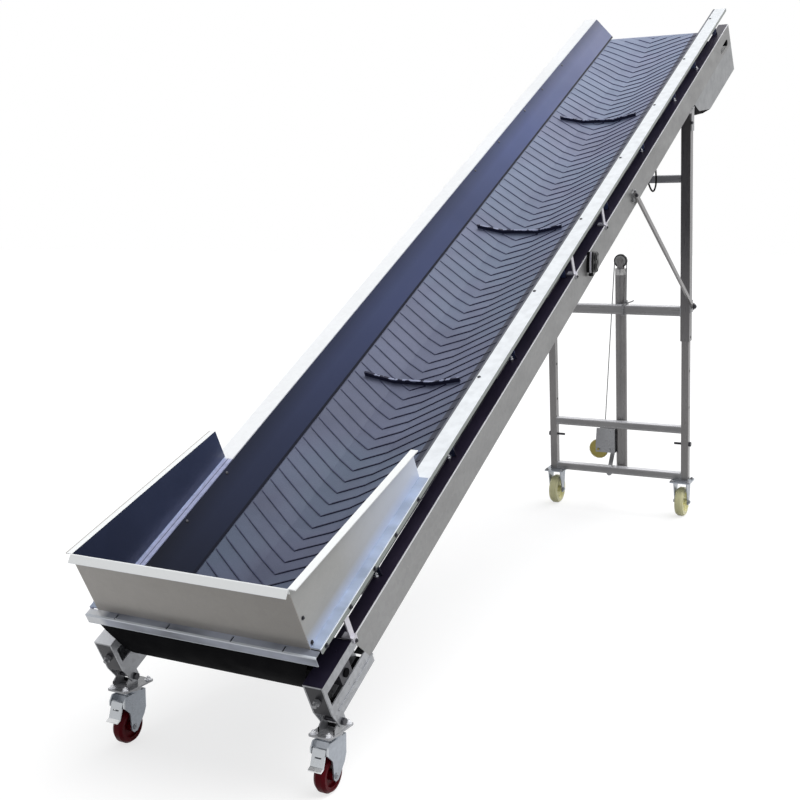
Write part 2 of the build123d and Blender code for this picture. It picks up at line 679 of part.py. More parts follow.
def takeup_frames():
    """Slotted frames for the tail bearings, flush with the channels, with lugs for the feet."""
    lug_s, lug_n = into_bed(FOOT_AXIS_Y, FOOT_AXIS_Z)
    start = TAKEUP_START
    sheet = TAKEUP_SHEET
    cut_end = CHANNEL_START + CHANNEL_START_CUT
    lower = [
        (TAKEUP_END, -CHANNEL_HEIGHT),
        (TAKEUP_END, -TAKEUP_BOTTOM),
        (lug_s + FOOT_LUG_RADIUS, -TAKEUP_BOTTOM),
        (lug_s + FOOT_LUG_RADIUS, lug_n),
        (lug_s - FOOT_LUG_RADIUS, lug_n),
        (start, -TAKEUP_END_PLATE),
    ]
    plate = [(start, 0), (CHANNEL_START, 0), (cut_end, -CHANNEL_HEIGHT)] + lower
    frame = Part()
    for x0 in (TAKEUP_IN, TAKEUP_OUT - sheet):
        side = side_plate(plate, x0, x0 + sheet)
        side += rod_x(x0, x0 + sheet, lug_s, lug_n, FOOT_LUG_RADIUS)
        frame += side
    frame += block(TAKEUP_IN, TAKEUP_OUT, start, start + sheet, -TAKEUP_END_PLATE, 0)
    frame += block(TAKEUP_IN, TAKEUP_OUT, start, CHANNEL_START - 1, -sheet, 0)
    floor_start = lug_s + FOOT_LUG_RADIUS
    frame += block(TAKEUP_IN, TAKEUP_OUT, floor_start, TAKEUP_END, -TAKEUP_BOTTOM, sheet - TAKEUP_BOTTOM)
    frame += block(
        TAKEUP_OUT, TAKEUP_OUT + TAKEUP_RIB, start + TAKEUP_BAR, TAKEUP_END,
        -CHANNEL_HEIGHT - sheet, -CHANNEL_HEIGHT,
    )
    half = TAKEUP_SLOT_HEIGHT / 2
    frame -= block(
        TAKEUP_IN - 1, TAKEUP_OUT + 1, TAKEUP_SLOT_START, cut_end, TAIL_AXIS_N - half, TAIL_AXIS_N + half,
    )
    frame -= rod_x(TAKEUP_IN - 1, TAKEUP_OUT + 1, lug_s, lug_n, FOOT_BOLT_RADIUS + BORE_GAP)
    middle = (TAKEUP_IN + TAKEUP_OUT) / 2
    frame -= rod_y(middle, start - 1, start + sheet + 1, TAIL_AXIS_N, SCREW_RADIUS + BORE_GAP)
    return tilt(both_sides(frame))


def tail_bearings():
    """Bearing blocks that slide in the take-up slots."""
    half = BEARING_LENGTH / 2
    rise = TAKEUP_SLOT_HEIGHT / 2 - SEAT_GAP
    s = TAIL_AXIS_S
    inner = TAKEUP_IN - 4
    outer = TAKEUP_OUT - BEARING_RECESS
    bearing = block(inner, outer, s - half, s + half, TAIL_AXIS_N - rise, TAIL_AXIS_N + rise)
    bearing = fillet(bearing.edges().filter_by(Axis.X), 4)
    bearing -= rod_x(inner - 1, outer + 1, s, TAIL_AXIS_N, TAIL_SHAFT_RADIUS + BORE_GAP)
    return tilt(both_sides(bearing))


def tension_screws():
    """Screws through the end plates that push the tail bearings."""
    middle = (TAKEUP_IN + TAKEUP_OUT) / 2
    tip = TAIL_AXIS_S - BEARING_LENGTH / 2
    plate = TAKEUP_START
    screw = rod_y(middle, plate - 20, tip, TAIL_AXIS_N, SCREW_RADIUS)
    nut = Pos(middle, plate - 10, TAIL_AXIS_N) * Rot(X=90) * extrude(RegularPolygon(10.5, 6), -9.7)
    return tilt(both_sides(screw + nut))


def foot_bolts():
    """Cross bolts, the pivots of the front feet."""
    inner = TAKEUP_IN - SEAT_GAP
    outer = TAKEUP_OUT + SEAT_GAP
    bolt = rod_x(inner - 8, outer + 8, FOOT_AXIS_Y, FOOT_AXIS_Z, FOOT_BOLT_RADIUS)
    for x0, x1 in ((inner - 8, inner), (outer, outer + 8)):
        hexagon = extrude(RegularPolygon(FOOT_BOLT_RADIUS + 5, 6), x1 - x0)
        bolt += Pos(x0, FOOT_AXIS_Y, FOOT_AXIS_Z) * Rot(Y=90) * hexagon
    return both_sides(bolt)


def foot_clevis():
    """Foot head of two cheeks on the cross bolt, with its plate, fixed race and kingpin."""
    x0 = TAKEUP_IN + TAKEUP_SHEET + SEAT_GAP
    x1 = TAKEUP_OUT - TAKEUP_SHEET - SEAT_GAP
    radius = FOOT_LUG_RADIUS
    plate_top = TOP_PLATE_Z + TOP_PLATE_THICKNESS
    y = FOOT_AXIS_Y
    cheek = [
        (y - FOOT_CHEEK_BEHIND, plate_top - 1),
        (y + FOOT_CHEEK_AHEAD, plate_top - 1),
        (y + radius, FOOT_AXIS_Z),
        (y - radius, FOOT_AXIS_Z),
        (y - FOOT_CHEEK_BEHIND, plate_top + FOOT_SHOULDER),
    ]
    head = Part()
    for side in (x0, x1 - TAKEUP_SHEET):
        head += side_plate(cheek, side, side + TAKEUP_SHEET)
        head += rod_x(side, side + TAKEUP_SHEET, y, FOOT_AXIS_Z, radius)
    cheek_front = y + FOOT_CHEEK_AHEAD
    head += block(x0, x1, cheek_front - TAKEUP_SHEET, cheek_front, plate_top - 1, FOOT_AXIS_Z - radius)
    head -= rod_x(x0 - 1, x1 + 1, y, FOOT_AXIS_Z, FOOT_BOLT_RADIUS + BORE_GAP)
    plate = block(
        FRONT_CASTER_X - TOP_PLATE_WIDTH / 2, FRONT_CASTER_X + TOP_PLATE_WIDTH / 2,
        SWIVEL_Y - TOP_PLATE_LENGTH / 2, SWIVEL_Y + TOP_PLATE_LENGTH / 2, TOP_PLATE_Z, plate_top,
    )
    plate = fillet(plate.edges().filter_by(Axis.Z), TOP_PLATE_CORNER)
    head += plate
    head -= corner_holes(
        FRONT_CASTER_X, SWIVEL_Y, TOP_HOLE_WIDTH, TOP_HOLE_LENGTH,
        TOP_PLATE_Z - 1, plate_top + 1, TOP_HOLE_RADIUS,
    )
    race_low = TOP_PLATE_Z - RACE_HEIGHT
    head += rod_z(FRONT_CASTER_X, SWIVEL_Y, race_low, TOP_PLATE_Z, RACE_RADIUS)
    head += rod_z(FRONT_CASTER_X, SWIVEL_Y, race_low - 16, TOP_PLATE_Z, KINGPIN_RADIUS)
    head += rod_z(FRONT_CASTER_X, SWIVEL_Y, race_low - 19, race_low - 13.3, KINGPIN_RADIUS + 4)
    return head


def corner_holes(x, y, width, length, z0, z1, radius):
    """Four upright hole tools at the corners of a plate."""
    return Part() + [
        rod_z(x + side * width / 2, y + end * length / 2, z0, z1, radius)
        for side in (-1, 1)
        for end in (-1, 1)
    ]


def front_fork():
    """Swivel fork with its race, trailing cheeks, axle and brake pedal."""
    x = FRONT_CASTER_X
    race_top = TOP_PLATE_Z - RACE_HEIGHT - SEAT_GAP
    crown_top = race_top - 6
    crown_low = crown_top - FORK_CROWN_DEPTH
    outer = FORK_HALF + FORK_SHEET
    front = SWIVEL_Y + RACE_RADIUS
    back = PEDAL_PIN_Y - 9
    axle_y = SWIVEL_Y - SWIVEL_TRAIL
    axle_z = FRONT_WHEEL_RADIUS
    fork = rod_z(x, SWIVEL_Y, crown_top, race_top, RACE_RADIUS - 3)
    fork += block(x - outer, x + outer, SWIVEL_Y - RACE_RADIUS, front, crown_low, crown_top)
    fork -= rod_z(x, SWIVEL_Y, crown_low - 1, race_top + 1, KINGPIN_RADIUS + BORE_GAP)
    cheek = [
        (back + 12, crown_top),
        (front, crown_top),
        (front, axle_z * 1.9),
        (front - 8, axle_z * 1.5),
        (axle_y + 17, axle_z - 6),
        (axle_y + 9, axle_z - 14),
        (axle_y - 4, axle_z - 15),
        (axle_y - 12, axle_z - 8),
        (axle_y - 14, axle_z + 6),
        (axle_y - 18, axle_z * 1.9),
        (back, PEDAL_PIN_Z - 6),
        (back, PEDAL_PIN_Z + 8),
    ]
    for x0 in (x - outer, x + FORK_HALF):
        fork += side_plate(cheek, x0, x0 + FORK_SHEET)
    fork += rod_x(x - outer - 5, x + outer + 5, axle_y, axle_z, FRONT_AXLE_RADIUS)
    fork += brake_pedal(x, outer)
    return fork


def brake_pedal(x, outer):
    """Cross pin between the cheeks with a steep foot pedal that ends in a lip."""
    y = PEDAL_PIN_Y
    z = PEDAL_PIN_Z
    pedal = rod_x(x - outer, x + outer, y, z, 5)
    half = PEDAL_WIDTH / 2
    profile = [
        (y + 5, z - 3),
        (y + 5, z + 5),
        (y - 2, z + 10),
        (y - 6, z + 8),
        (y - 20, z - 36),
        (y - 32, z - 42),
        (y - 31, z - 46),
        (y - 17, z - 41),
        (y - 3, z + 1),
    ]
    pedal += side_plate(profile, x - half, x + half)
    return pedal - block(x - half / 2, x + half / 2, y - 30, y, z - 16, z - 12)


def wheel(x, y, z, radius, width, hub_half, bore, tread):
    """A wheel about X with a rounded tread, recessed sides and a longer hub."""
    half = width / 2
    hub = bore + 9
    rim = radius - tread
    points = [
        (bore, hub_half),
        (hub, hub_half),
        (hub, half * 0.45),
        (rim - 5, half * 0.45),
        (rim - 5, half * 0.9),
        (rim, half * 0.9),
        (rim, half),
        (radius - half * 0.35, half),
        (radius, half * 0.5),
    ]
    outline = points + [(r, -a) for r, a in points[::-1]]
    face = make_face(Polyline(*[(a, r, 0) for r, a in outline], close=True))
    return Pos(x, y, z) * revolve(face, Axis.X, 360)


def front_wheel():
    """Front wheel in the right-hand fork."""
    return wheel(
        FRONT_CASTER_X, SWIVEL_Y - SWIVEL_TRAIL, FRONT_WHEEL_RADIUS, FRONT_WHEEL_RADIUS,
        FRONT_WHEEL_WIDTH, FORK_HALF - WHEEL_SIDE_GAP, FRONT_AXLE_RADIUS + BORE_GAP, 12,
    )


# Discharge end guard

def guard_points():
    """The guard's side outline, placed from the head drum."""
    return [(HEAD_AXIS_S + s, n) for s, n in (GUARD_MOUTH, GUARD_KNEE, GUARD_BELLY, GUARD_TIP)]


def head_guard():
    """Sheet guard under the head drum, open towards the tail and at the chute."""
    mouth, knee, belly, tip = guard_points()
    t = COVER_SHEET
    lip = (CHANNEL_END + CHANNEL_END_CUT, mouth[1])
    guard = side_plate([mouth, knee, belly, tip, lip], -CHANNEL_OUT, CHANNEL_OUT)
    hollow = [
        (mouth[0] - 60, mouth[1] + 1),
        (knee[0] - 60, knee[1] + t),
        (knee[0], knee[1] + t),
        (belly[0], belly[1] + t),
        (tip[0] + 40, tip[1] + t),
        (lip[0] + 40, mouth[1] + 1),
    ]
    guard -= side_plate(hollow, t - CHANNEL_OUT, CHANNEL_OUT - t)
    return tilt(guard)


def guard_flaps():
    """Rubber flaps at the mouth of the guard."""
    mouth, knee, belly, tip = guard_points()
    points = [
        (mouth[0] - 14, mouth[1]),
        mouth,
        knee,
        belly,
        (belly[0] - 143, belly[1] + 40),
        (mouth[0] - 14, mouth[1] - 48),
    ]
    return tilt(both_sides(side_plate(points, CHANNEL_OUT - FLAP_THICKNESS, CHANNEL_OUT)))


# Switch box and motor cable

def switch_box():
    """Switch box on the right channel, with its back plate and button."""
    face = CHANNEL_OUT
    y, z = bed_place(BOX_S, BOX_N)
    plate = tilt(block(face, face + 3, BOX_S - 30, BOX_S + 30, -90, -8))
    half = BOX_LENGTH / 2
    body = block(face + 3, face + BOX_WIDTH, y - half, y + half, z - BOX_HEIGHT / 2, z + BOX_HEIGHT / 2)
    body = fillet(body.edges().filter_by(Axis.X), 8)
    knob = rod_y(face + 20, y - half - 12, y - half, z + 8, 10)
    return plate + body + knob


def motor_cable():
    """Cable from the switch box along the right channel to the drum motor's shaft."""
    low = CHANNEL_SHEET - CHANNEL_HEIGHT + CABLE_RADIUS + SEAT_GAP
    lane = CHANNEL_IN + 24
    drop = CHANNEL_IN - 14
    route = [
        (WEB_IN - SEAT_GAP, BOX_S, BOX_N - 25),
        (lane, BOX_S, BOX_N - 25),
        (lane, BOX_S + 90, low),
        (lane, 3022, low),
        (lane - 8, 3062, low + 22),
        (drop, 3082, low + 12),
        (drop, 3108, -190),
        (drop, 3160, -275),
        (drop, 3225, -262),
        (drop, 3240, -180),
        (drop, 3246, low + 12),
        (lane - 8, 3270, low + 22),
        (lane, 3318, low),
        (lane, HEAD_AXIS_S - 130, low),
        (lane, HEAD_AXIS_S - 60, DRUM_AXIS_N),
        (lane, HEAD_AXIS_S - DRUM_SHAFT_RADIUS - SEAT_GAP, DRUM_AXIS_N),
    ]
    return tilt(round_cord(route, CABLE_RADIUS))


def round_cord(route, radius):
    """A round cord along straight runs joined by the largest arcs that fit."""
    points = [Vector(*p) for p in route]
    radii = []
    for before, point, after in zip(points, points[1:], points[2:]):
        run = min((point - before).length, (after - point).length)
        turn = (point - before).get_angle(after - point)
        radii.append(min(0.45 * run / math.tan(math.radians(turn / 2)), 300))
    path = FilletPolyline(*points, radius=radii)
    start = Plane(points[0], z_dir=points[1] - points[0])
    return sweep(start * Circle(radius), path=path)


# Portal

def square_tube(size, wall, x, v0, v1):
    """An upright square tube."""
    half = size / 2
    tube = block(x - half, x + half, -half, half, v0, v1)
    inner = half - wall
    return tube - block(x - inner, x + inner, -inner, inner, v0 - 1, v1 + 1)


def below_channel(part, gap):
    """Cut away what reaches above a line just under the channels."""
    reach = CHANNEL_OUT + OUTER_TUBE
    span = 2 * CHANNEL_HEIGHT
    above = tilt(block(-reach, reach, LEG_TOP_S - span, LEG_TOP_S + span, -CHANNEL_HEIGHT - gap, span))
    return lean(part) - above


def outer_legs():
    """Outer tubes that hang from the channels."""
    wall = (OUTER_TUBE - INNER_TUBE) / 2 - TUBE_GAP
    leg = square_tube(OUTER_TUBE, wall, LEG_X, OUTER_TUBE_END, LEG_TOP_V + OUTER_TUBE)
    hole_v = OUTER_TUBE_END + 20
    leg -= rod_x(LEG_X - OUTER_TUBE, LEG_X + OUTER_TUBE, 0, hole_v, PIN_HOLE_RADIUS)
    return below_channel(both_sides(leg), PAD_THICKNESS)


def leg_brackets():
    """Angle brackets that bolt the outer legs under the channels."""
    face = LEG_X + OUTER_TUBE / 2
    half = OUTER_TUBE / 2
    cheek = block(
        face, face + PAD_THICKNESS, -half, half, LEG_TOP_V - LEG_BRACKET_HEIGHT, LEG_TOP_V + OUTER_TUBE,
    )
    cheek = below_channel(cheek, PAD_THICKNESS)
    start = LEG_TOP_S - LEG_BRACKET_BEHIND
    end = LEG_TOP_S + LEG_BRACKET_AHEAD
    foot = tilt(block(CHANNEL_IN, face + PAD_THICKNESS, start, end, LEG_TOP_N, -CHANNEL_HEIGHT))
    return both_sides(cheek + foot)


def outer_cross_tubes():
    """Two cross tubes that tie the outer legs."""
    reach = LEG_X - OUTER_TUBE / 2
    small = INNER_TUBE / 2
    large = OUTER_TUBE / 2
    top = block(-reach, reach, -small, small, TOP_CROSS_V - small, TOP_CROSS_V + small)
    top -= block(
        -reach - 1, reach + 1, 3 - small, small - 3, TOP_CROSS_V - small + 3, TOP_CROSS_V + small - 3,
    )
    upper = block(-reach, reach, -large, large, UPPER_CROSS_V - large, UPPER_CROSS_V + large)
    upper -= block(
        -reach - 1, reach + 1, 3 - large, large - 3, UPPER_CROSS_V - large + 3, UPPER_CROSS_V + large - 3,
    )
    return lean(Part() + [top, upper])


def brace_foot():
    """World (y, z) of the brace's lower bolt."""
    v = BRACE_FOOT_V
    return PORTAL_FOOT_Y - v * SIN_LEAN, v * COS_LEAN


def braces():
    """Diagonal bars from the channels to the outer legs."""
    top = Vector(0, *bed_place(BRACE_TOP_S, BRACE_TOP_N))
    foot = Vector(0, *brace_foot())
    run = top - foot
    angle = math.degrees(math.atan2(run.Z, run.Y))
    x0 = CHANNEL_OUT + PAD_THICKNESS
    half = BRACE_WIDTH / 2
    bar = block(x0, x0 + BRACE_THICKNESS, 0, run.length, -half, half)
    for end in (0, run.length):
        bar += rod_x(x0, x0 + BRACE_THICKNESS, end, 0, half)
    for end in (0, run.length):
        bar -= rod_x(x0 - 1, x0 + BRACE_THICKNESS + 1, end, 0, BRACE_BOLT_RADIUS)
    return both_sides(Pos(0, foot.Y, foot.Z) * Rot(X=angle) * bar)


def brace_pads():
    """Lugs under the ends of the braces, on channel and leg."""
    x0 = CHANNEL_OUT
    x1 = CHANNEL_OUT + PAD_THICKNESS
    channel_pad = tilt(block(x0, x1, BRACE_TOP_S - 22, BRACE_TOP_S + 22, BRACE_TOP_N - 25, BRACE_TOP_N + 15))
    leg_pad = lean(block(x0, x1, -OUTER_TUBE / 2, OUTER_TUBE / 2, BRACE_FOOT_V - 30, BRACE_FOOT_V + 30))
    return both_sides(Part() + [channel_pad, leg_pad])


def inner_legs():
    """Inner tubes that slide in the outer legs, with their height holes."""
    leg = square_tube(INNER_TUBE, INNER_WALL, LEG_X, REAR_CASTER_HEIGHT, INNER_TUBE_TOP)
    for v in PIN_HOLES:
        leg -= rod_x(LEG_X - INNER_TUBE, LEG_X + INNER_TUBE, 0, v, PIN_HOLE_RADIUS)
    return lean(both_sides(leg))


def inner_cross_tubes():
    """Two cross tubes that tie the inner legs and carry the mast."""
    reach = LEG_X - INNER_TUBE / 2
    half = INNER_TUBE / 2
    wall = INNER_WALL
    tubes = []
    for v in (MID_CROSS_V, BOTTOM_CROSS_V):
        tube = block(-reach, reach, -half, half, v - half, v + half)
        hollow = block(-reach - 1, reach + 1, wall - half, half - wall, v - half + wall, v + half - wall)
        tubes.append(tube - hollow)
    return lean(Part() + tubes)


def lock_pins():
    """Lock pins through the lowest height holes."""
    inner = LEG_X - INNER_TUBE / 2 - PIN_INNER
    face = LEG_X + INNER_TUBE / 2 + SEAT_GAP
    pin = rod_x(inner, face, 0, PIN_HOLES[0], PIN_RADIUS)
    pin += rod_x(face, face + 10, 0, PIN_HOLES[0], PIN_HEAD_RADIUS)
    return lean(both_sides(pin))


# Mast, winch and hoist rope

def mast():
    """Round mast behind the cross tubes, with saddles and a pulley head."""
    post = rod_z(0, MAST_U, REAR_CASTER_HEIGHT, MAST_TOP, MAST_RADIUS)
    post -= rod_z(0, MAST_U, REAR_CASTER_HEIGHT - 1, MAST_TOP - 8, MAST_RADIUS - 3)
    for v in (MID_CROSS_V, BOTTOM_CROSS_V):
        post += block(-16, 16, INNER_TUBE / 2, MAST_U - MAST_RADIUS + 6, v - 16, v + 16) - rod_z(
            0, MAST_U, v - 17, v + 17, MAST_RADIUS - 1
        )
    gap = PULLEY_WIDTH / 2 + SEAT_GAP
    for side in (-1, 1):
        near = MAST_U + side * gap
        far = near + side * 4
        post += block(-16, 16, near, far, MAST_TOP - 1, PULLEY_V)
        post += rod_y(0, near, far, PULLEY_V, 16)
    post += rod_y(0, MAST_U - gap - 7, MAST_U + gap + 7, PULLEY_V, PULLEY_PIN_RADIUS)
    return lean(post)


def mast_pulley():
    """Grooved pulley at the mast head."""
    half = PULLEY_WIDTH / 2
    groove = PULLEY_ROPE_RADIUS - ROPE_RADIUS - SEAT_GAP
    rim = PULLEY_ROPE_RADIUS + 2
    bore = PULLEY_PIN_RADIUS + BORE_GAP
    points = [(bore, half), (rim, half), (rim, half - 2), (groove, 1.5)]
    outline = points + [(r, -a) for r, a in points[::-1]]
    face = make_face(Polyline(*[(r, a, 0) for r, a in outline], close=True))
    return lean(Pos(0, MAST_U, PULLEY_V) * revolve(face, Axis.Y, 360))


def winch_frame():
    """Two cheek plates on a back plate beside the mast."""
    left = WINCH_X - 14
    right = -MAST_RADIUS - SEAT_GAP
    low = WINCH_V - 15
    top = WINCH_V + 115
    cheek = [(right, low), (right, top), (left + 6, top), (left, WINCH_V + 25), (left, low)]
    frame = block(right - 5, right, MAST_U - WINCH_HALF, MAST_U + WINCH_HALF, low, top)
    for u in (MAST_U - WINCH_HALF, MAST_U + WINCH_HALF - WINCH_SHEET):
        plate = cross_plate(cheek, u, u + WINCH_SHEET)
        for x, v in ((WINCH_X, WINCH_V), (PINION_X, PINION_V)):
            plate -= rod_y(x, u - 1, u + WINCH_SHEET + 1, v, 6 + BORE_GAP)
        frame += plate
    frame += rod_y(PINION_X - 22, MAST_U - WINCH_HALF, MAST_U + WINCH_HALF, top - 47, 5)
    return lean(frame)


def gear_wheel(radius, teeth, width, bore):
    """A spur gear about Y with trapezoid teeth."""
    depth = 4.0
    root = radius - depth
    step = 2 * math.pi / teeth
    points = []
    for k in range(teeth):
        for turn, r in ((-0.28, root), (-0.14, radius), (0.14, radius), (0.28, root)):
            angle = (k + turn) * step
            points.append((r * math.cos(angle), r * math.sin(angle)))
    gear = cross_plate(points, 0, width)
    return gear - rod_y(0, -1, width + 1, 0, bore) if bore else gear


def winch_drum():
    """Rope drum with its flanges, gear and shaft."""
    front = MAST_U - WINCH_HALF + WINCH_SHEET + 1
    back = MAST_U + WINCH_HALF - WINCH_SHEET - 1
    core = WINCH_ROPE_RADIUS - ROPE_RADIUS - SEAT_GAP
    drum_body = rod_y(WINCH_X, front, back, WINCH_V, core)
    drum_body += Pos(WINCH_X, front, WINCH_V) * gear_wheel(GEAR_RADIUS, GEAR_TEETH, GEAR_WIDTH, 0)
    drum_body += rod_y(WINCH_X, back - 3, back, WINCH_V, GEAR_RADIUS - 12)
    drum_body += rod_y(WINCH_X, MAST_U - WINCH_HALF - 6, MAST_U + WINCH_HALF + 6, WINCH_V, 6)
    return lean(drum_body)


def winch_crank():
    """Pinion shaft with its crank arm and grip behind the mast."""
    front = MAST_U - WINCH_HALF + WINCH_SHEET + 1
    arm = MAST_U + WINCH_HALF + 12
    pinion = math.hypot(WINCH_X - PINION_X, WINCH_V - PINION_V) - GEAR_RADIUS + 2.8
    crank = rod_y(PINION_X, MAST_U - WINCH_HALF - 6, arm + 6, PINION_V, 6)
    teeth = 9
    turn = 180 / teeth if teeth % 2 == 0 else 0
    crank += Pos(PINION_X, front, PINION_V) * Rot(Y=turn) * gear_wheel(pinion, teeth, GEAR_WIDTH, 0)
    run_x = CRANK_END_X - PINION_X
    run_v = CRANK_END_V - PINION_V
    length = math.hypot(run_x, run_v)
    bar = block(0, length, 0, 6, -11, 11)
    for end in (0, length):
        bar += rod_y(end, 0, 6, 0, 11)
    crank += Pos(PINION_X, arm, PINION_V) * Rot(Y=-math.degrees(math.atan2(run_v, run_x))) * bar
    crank += rod_y(CRANK_END_X, arm + 6, arm + 6 + GRIP_LENGTH, CRANK_END_V, GRIP_RADIUS)
    return lean(crank)


def rope_tangents():
    """Angles on the pulley where the winch rope arrives and the hoist rope leaves."""
    run_x = -WINCH_X
    run_v = PULLEY_V - WINCH_V
    length = math.hypot(run_x, run_v)
    crossing = math.asin((WINCH_ROPE_RADIUS + PULLEY_ROPE_RADIUS) / length)
    arrive = math.atan2(run_v, run_x) + crossing + math.pi / 2
    drop = PULLEY_V - ANCHOR_V
    reach = math.hypot(ANCHOR_X, drop)
    leave = math.acos(PULLEY_ROPE_RADIUS / reach) - math.atan2(drop, ANCHOR_X)
    return arrive, leave


def rope_point(angle):
    """Portal (x, v) of the rope's centre line on the pulley."""
    return PULLEY_ROPE_RADIUS * math.cos(angle), PULLEY_V + PULLEY_ROPE_RADIUS * math.sin(angle)


def straight_rope(start, end):
    """A round rope between two points."""
    run = end - start
    return extrude(Plane(start, z_dir=run) * Circle(ROPE_RADIUS), run.length)


def winch_rope():
    """Rope from the winch drum up to the mast pulley and over it."""
    arrive, leave = rope_tangents()
    x, v = rope_point(arrive)
    drum_x = WINCH_X - WINCH_ROPE_RADIUS * math.cos(arrive)
    drum_v = WINCH_V - WINCH_ROPE_RADIUS * math.sin(arrive)
    rope = straight_rope(Vector(drum_x, MAST_U, drum_v), Vector(x, MAST_U, v))
    section = make_face(Plane.XY.offset(0) * Pos(PULLEY_ROPE_RADIUS, 0) * Circle(ROPE_RADIUS).edge())
    arc = revolve(section, Axis.Y, -math.degrees(arrive - leave))
    rope += Pos(0, MAST_U, PULLEY_V) * Rot(Y=-math.degrees(leave)) * arc
    return lean(rope)


def hoist_rope():
    """Rope from the mast pulley down to the loop on the upper cross tube."""
    leave = rope_tangents()[1]
    x, v = rope_point(leave)
    end = Vector(ANCHOR_X, OUTER_TUBE / 2 + 8, ANCHOR_V)
    run = Vector(x, MAST_U, v) - end
    gap = run.normalized() * 2 * SEAT_GAP
    return lean(straight_rope(end + gap, end + run - gap))


def hoist_anchor():
    """Rope loop with its clamp round the upper cross tube."""
    half = OUTER_TUBE / 2 + SEAT_GAP
    outer = half + 2 * ROPE_RADIUS
    width = ROPE_RADIUS
    v = UPPER_CROSS_V
    loop = block(ANCHOR_X - width, ANCHOR_X + width, -outer, outer, v - outer, v + outer)
    loop = fillet(loop.edges().filter_by(Axis.X), 2 * ROPE_RADIUS)
    loop -= block(ANCHOR_X - width - 1, ANCHOR_X + width + 1, -half, half, v - half, v + half)
    clamp = block(ANCHOR_X - 7, ANCHOR_X + 7, OUTER_TUBE / 2 + 1, OUTER_TUBE / 2 + 15, v + half, ANCHOR_V)
    return lean(loop + clamp)


# Rear fixed casters

def rear_fork():
    """Fixed fork with its top plate and axle."""
    x = REAR_CASTER_X
    u = REAR_CASTER_U
    top = REAR_CASTER_HEIGHT
    half = REAR_PLATE / 2
    low = top - REAR_PLATE_THICKNESS
    fork = block(x - half, x + half, u - half, u + half, low, top)
    fork = fillet(fork.edges().filter_by(Axis.Z), 8)
    fork -= corner_holes(x, u, REAR_HOLE_PITCH, REAR_HOLE_PITCH, low - 1, top + 1, REAR_HOLE_RADIUS)
    outer = REAR_FORK_HALF + REAR_FORK_SHEET
    axle = REAR_AXLE_V
    cheek = [
        (u - 38, low), (u + 38, low), (u + 16, axle), (u + 11, axle - 13),
        (u, axle - 18), (u - 11, axle - 13), (u - 16, axle),
    ]
    for x0 in (x - outer, x + REAR_FORK_HALF):
        fork += side_plate(cheek, x0, x0 + REAR_FORK_SHEET)
    fork += block(x - outer, x + outer, u - 38, u + 38, low - REAR_FORK_SHEET, low)
    fork += rod_x(x - outer - 8, x + outer + 8, u, axle, REAR_AXLE_RADIUS)
    return lean(fork)


def rear_wheel():
    """Rear wheel in the right-hand fork."""
    return lean(wheel(
        REAR_CASTER_X, REAR_CASTER_U, REAR_AXLE_V, REAR_WHEEL_RADIUS,
        REAR_WHEEL_WIDTH, REAR_FORK_HALF - WHEEL_SIDE_GAP, REAR_AXLE_RADIUS + BORE_GAP, 22,
    ))


def build():
    """Every sub-part by name, in the frame of the front wheels."""
    nodes = {}
    nodes["side_channel_right"], nodes["side_channel_left"] = side_channels()
    nodes["cross_formers"] = cross_formers()
    nodes["slider_pan"] = slider_pan()
    nodes["return_rollers"] = return_rollers()
    nodes["belt"] = belt()
    nodes["head_drum"] = drum(HEAD_AXIS_S, DRUM_AXIS_N, DRUM_RADIUS, CHANNEL_OUT + 3, DRUM_SHAFT_RADIUS)
    nodes["tail_drum"] = drum(TAIL_AXIS_S, TAIL_AXIS_N, TAIL_DRUM_RADIUS, TAKEUP_OUT + 2, TAIL_SHAFT_RADIUS)
    nodes["tail_bearings"] = tail_bearings()
    nodes["tension_screws"] = tension_screws()
    nodes["takeup_frames"] = takeup_frames()
    nodes["cover_rails"] = cover_rails()
    nodes["skirts"] = skirts()
    nodes["skirt_brackets"] = skirt_brackets()
    nodes["rail_posts"] = rail_posts()
    nodes["hopper_front"] = hopper_front()
    nodes["hopper_sides"] = hopper_sides()
    nodes["tail_apron"] = tail_apron()
    nodes["head_guard"] = head_guard()
    nodes["guard_flaps"] = guard_flaps()
    nodes["switch_box"] = switch_box()
    nodes["motor_cable"] = motor_cable()
    nodes["foot_bolts"] = foot_bolts()
    nodes["outer_legs"] = outer_legs()
    nodes["leg_brackets"] = leg_brackets()
    nodes["outer_cross_tubes"] = outer_cross_tubes()
    nodes["braces"] = braces()
    nodes["brace_pads"] = brace_pads()
    nodes["hoist_anchor"] = hoist_anchor()
    nodes["inner_legs"] = inner_legs()
    nodes["inner_cross_tubes"] = inner_cross_tubes()
    nodes["lock_pins"] = lock_pins()
    nodes["mast"] = mast()
    nodes["mast_pulley"] = mast_pulley()
    nodes["winch_frame"] = winch_frame()
    nodes["winch_drum"] = winch_drum()
    nodes["winch_crank"] = winch_crank()
    nodes["winch_rope"] = winch_rope()
    nodes["hoist_rope"] = hoist_rope()
    right = {
        "foot_clevis": foot_clevis(),
        "front_fork": front_fork(),
        "front_wheel": front_wheel(),
        "rear_fork": rear_fork(),
        "rear_wheel": rear_wheel(),
    }
    for name, part in right.items():
        nodes[name + "_right"] = part
        nodes[name + "_left"] = other_side(part)
    return nodes


def centred(nodes):
    """Every sub-part moved along Y so that the whole stands centred on the origin."""
    boxes = [part.bounding_box() for part in nodes.values()]
    middle = (min(b.min.Y for b in boxes) + max(b.max.Y for b in boxes)) / 2
    print("moved along Y by", -middle)
    return {name: Pos(0, -middle, 0) * part for name, part in nodes.items()}


os.makedirs("parts", exist_ok=True)
for name, part in centred(build()).items():
    export_step(part, f"parts/{name}.step")
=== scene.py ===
import math

import bmesh
import bpy
from mathutils import Matrix, Vector


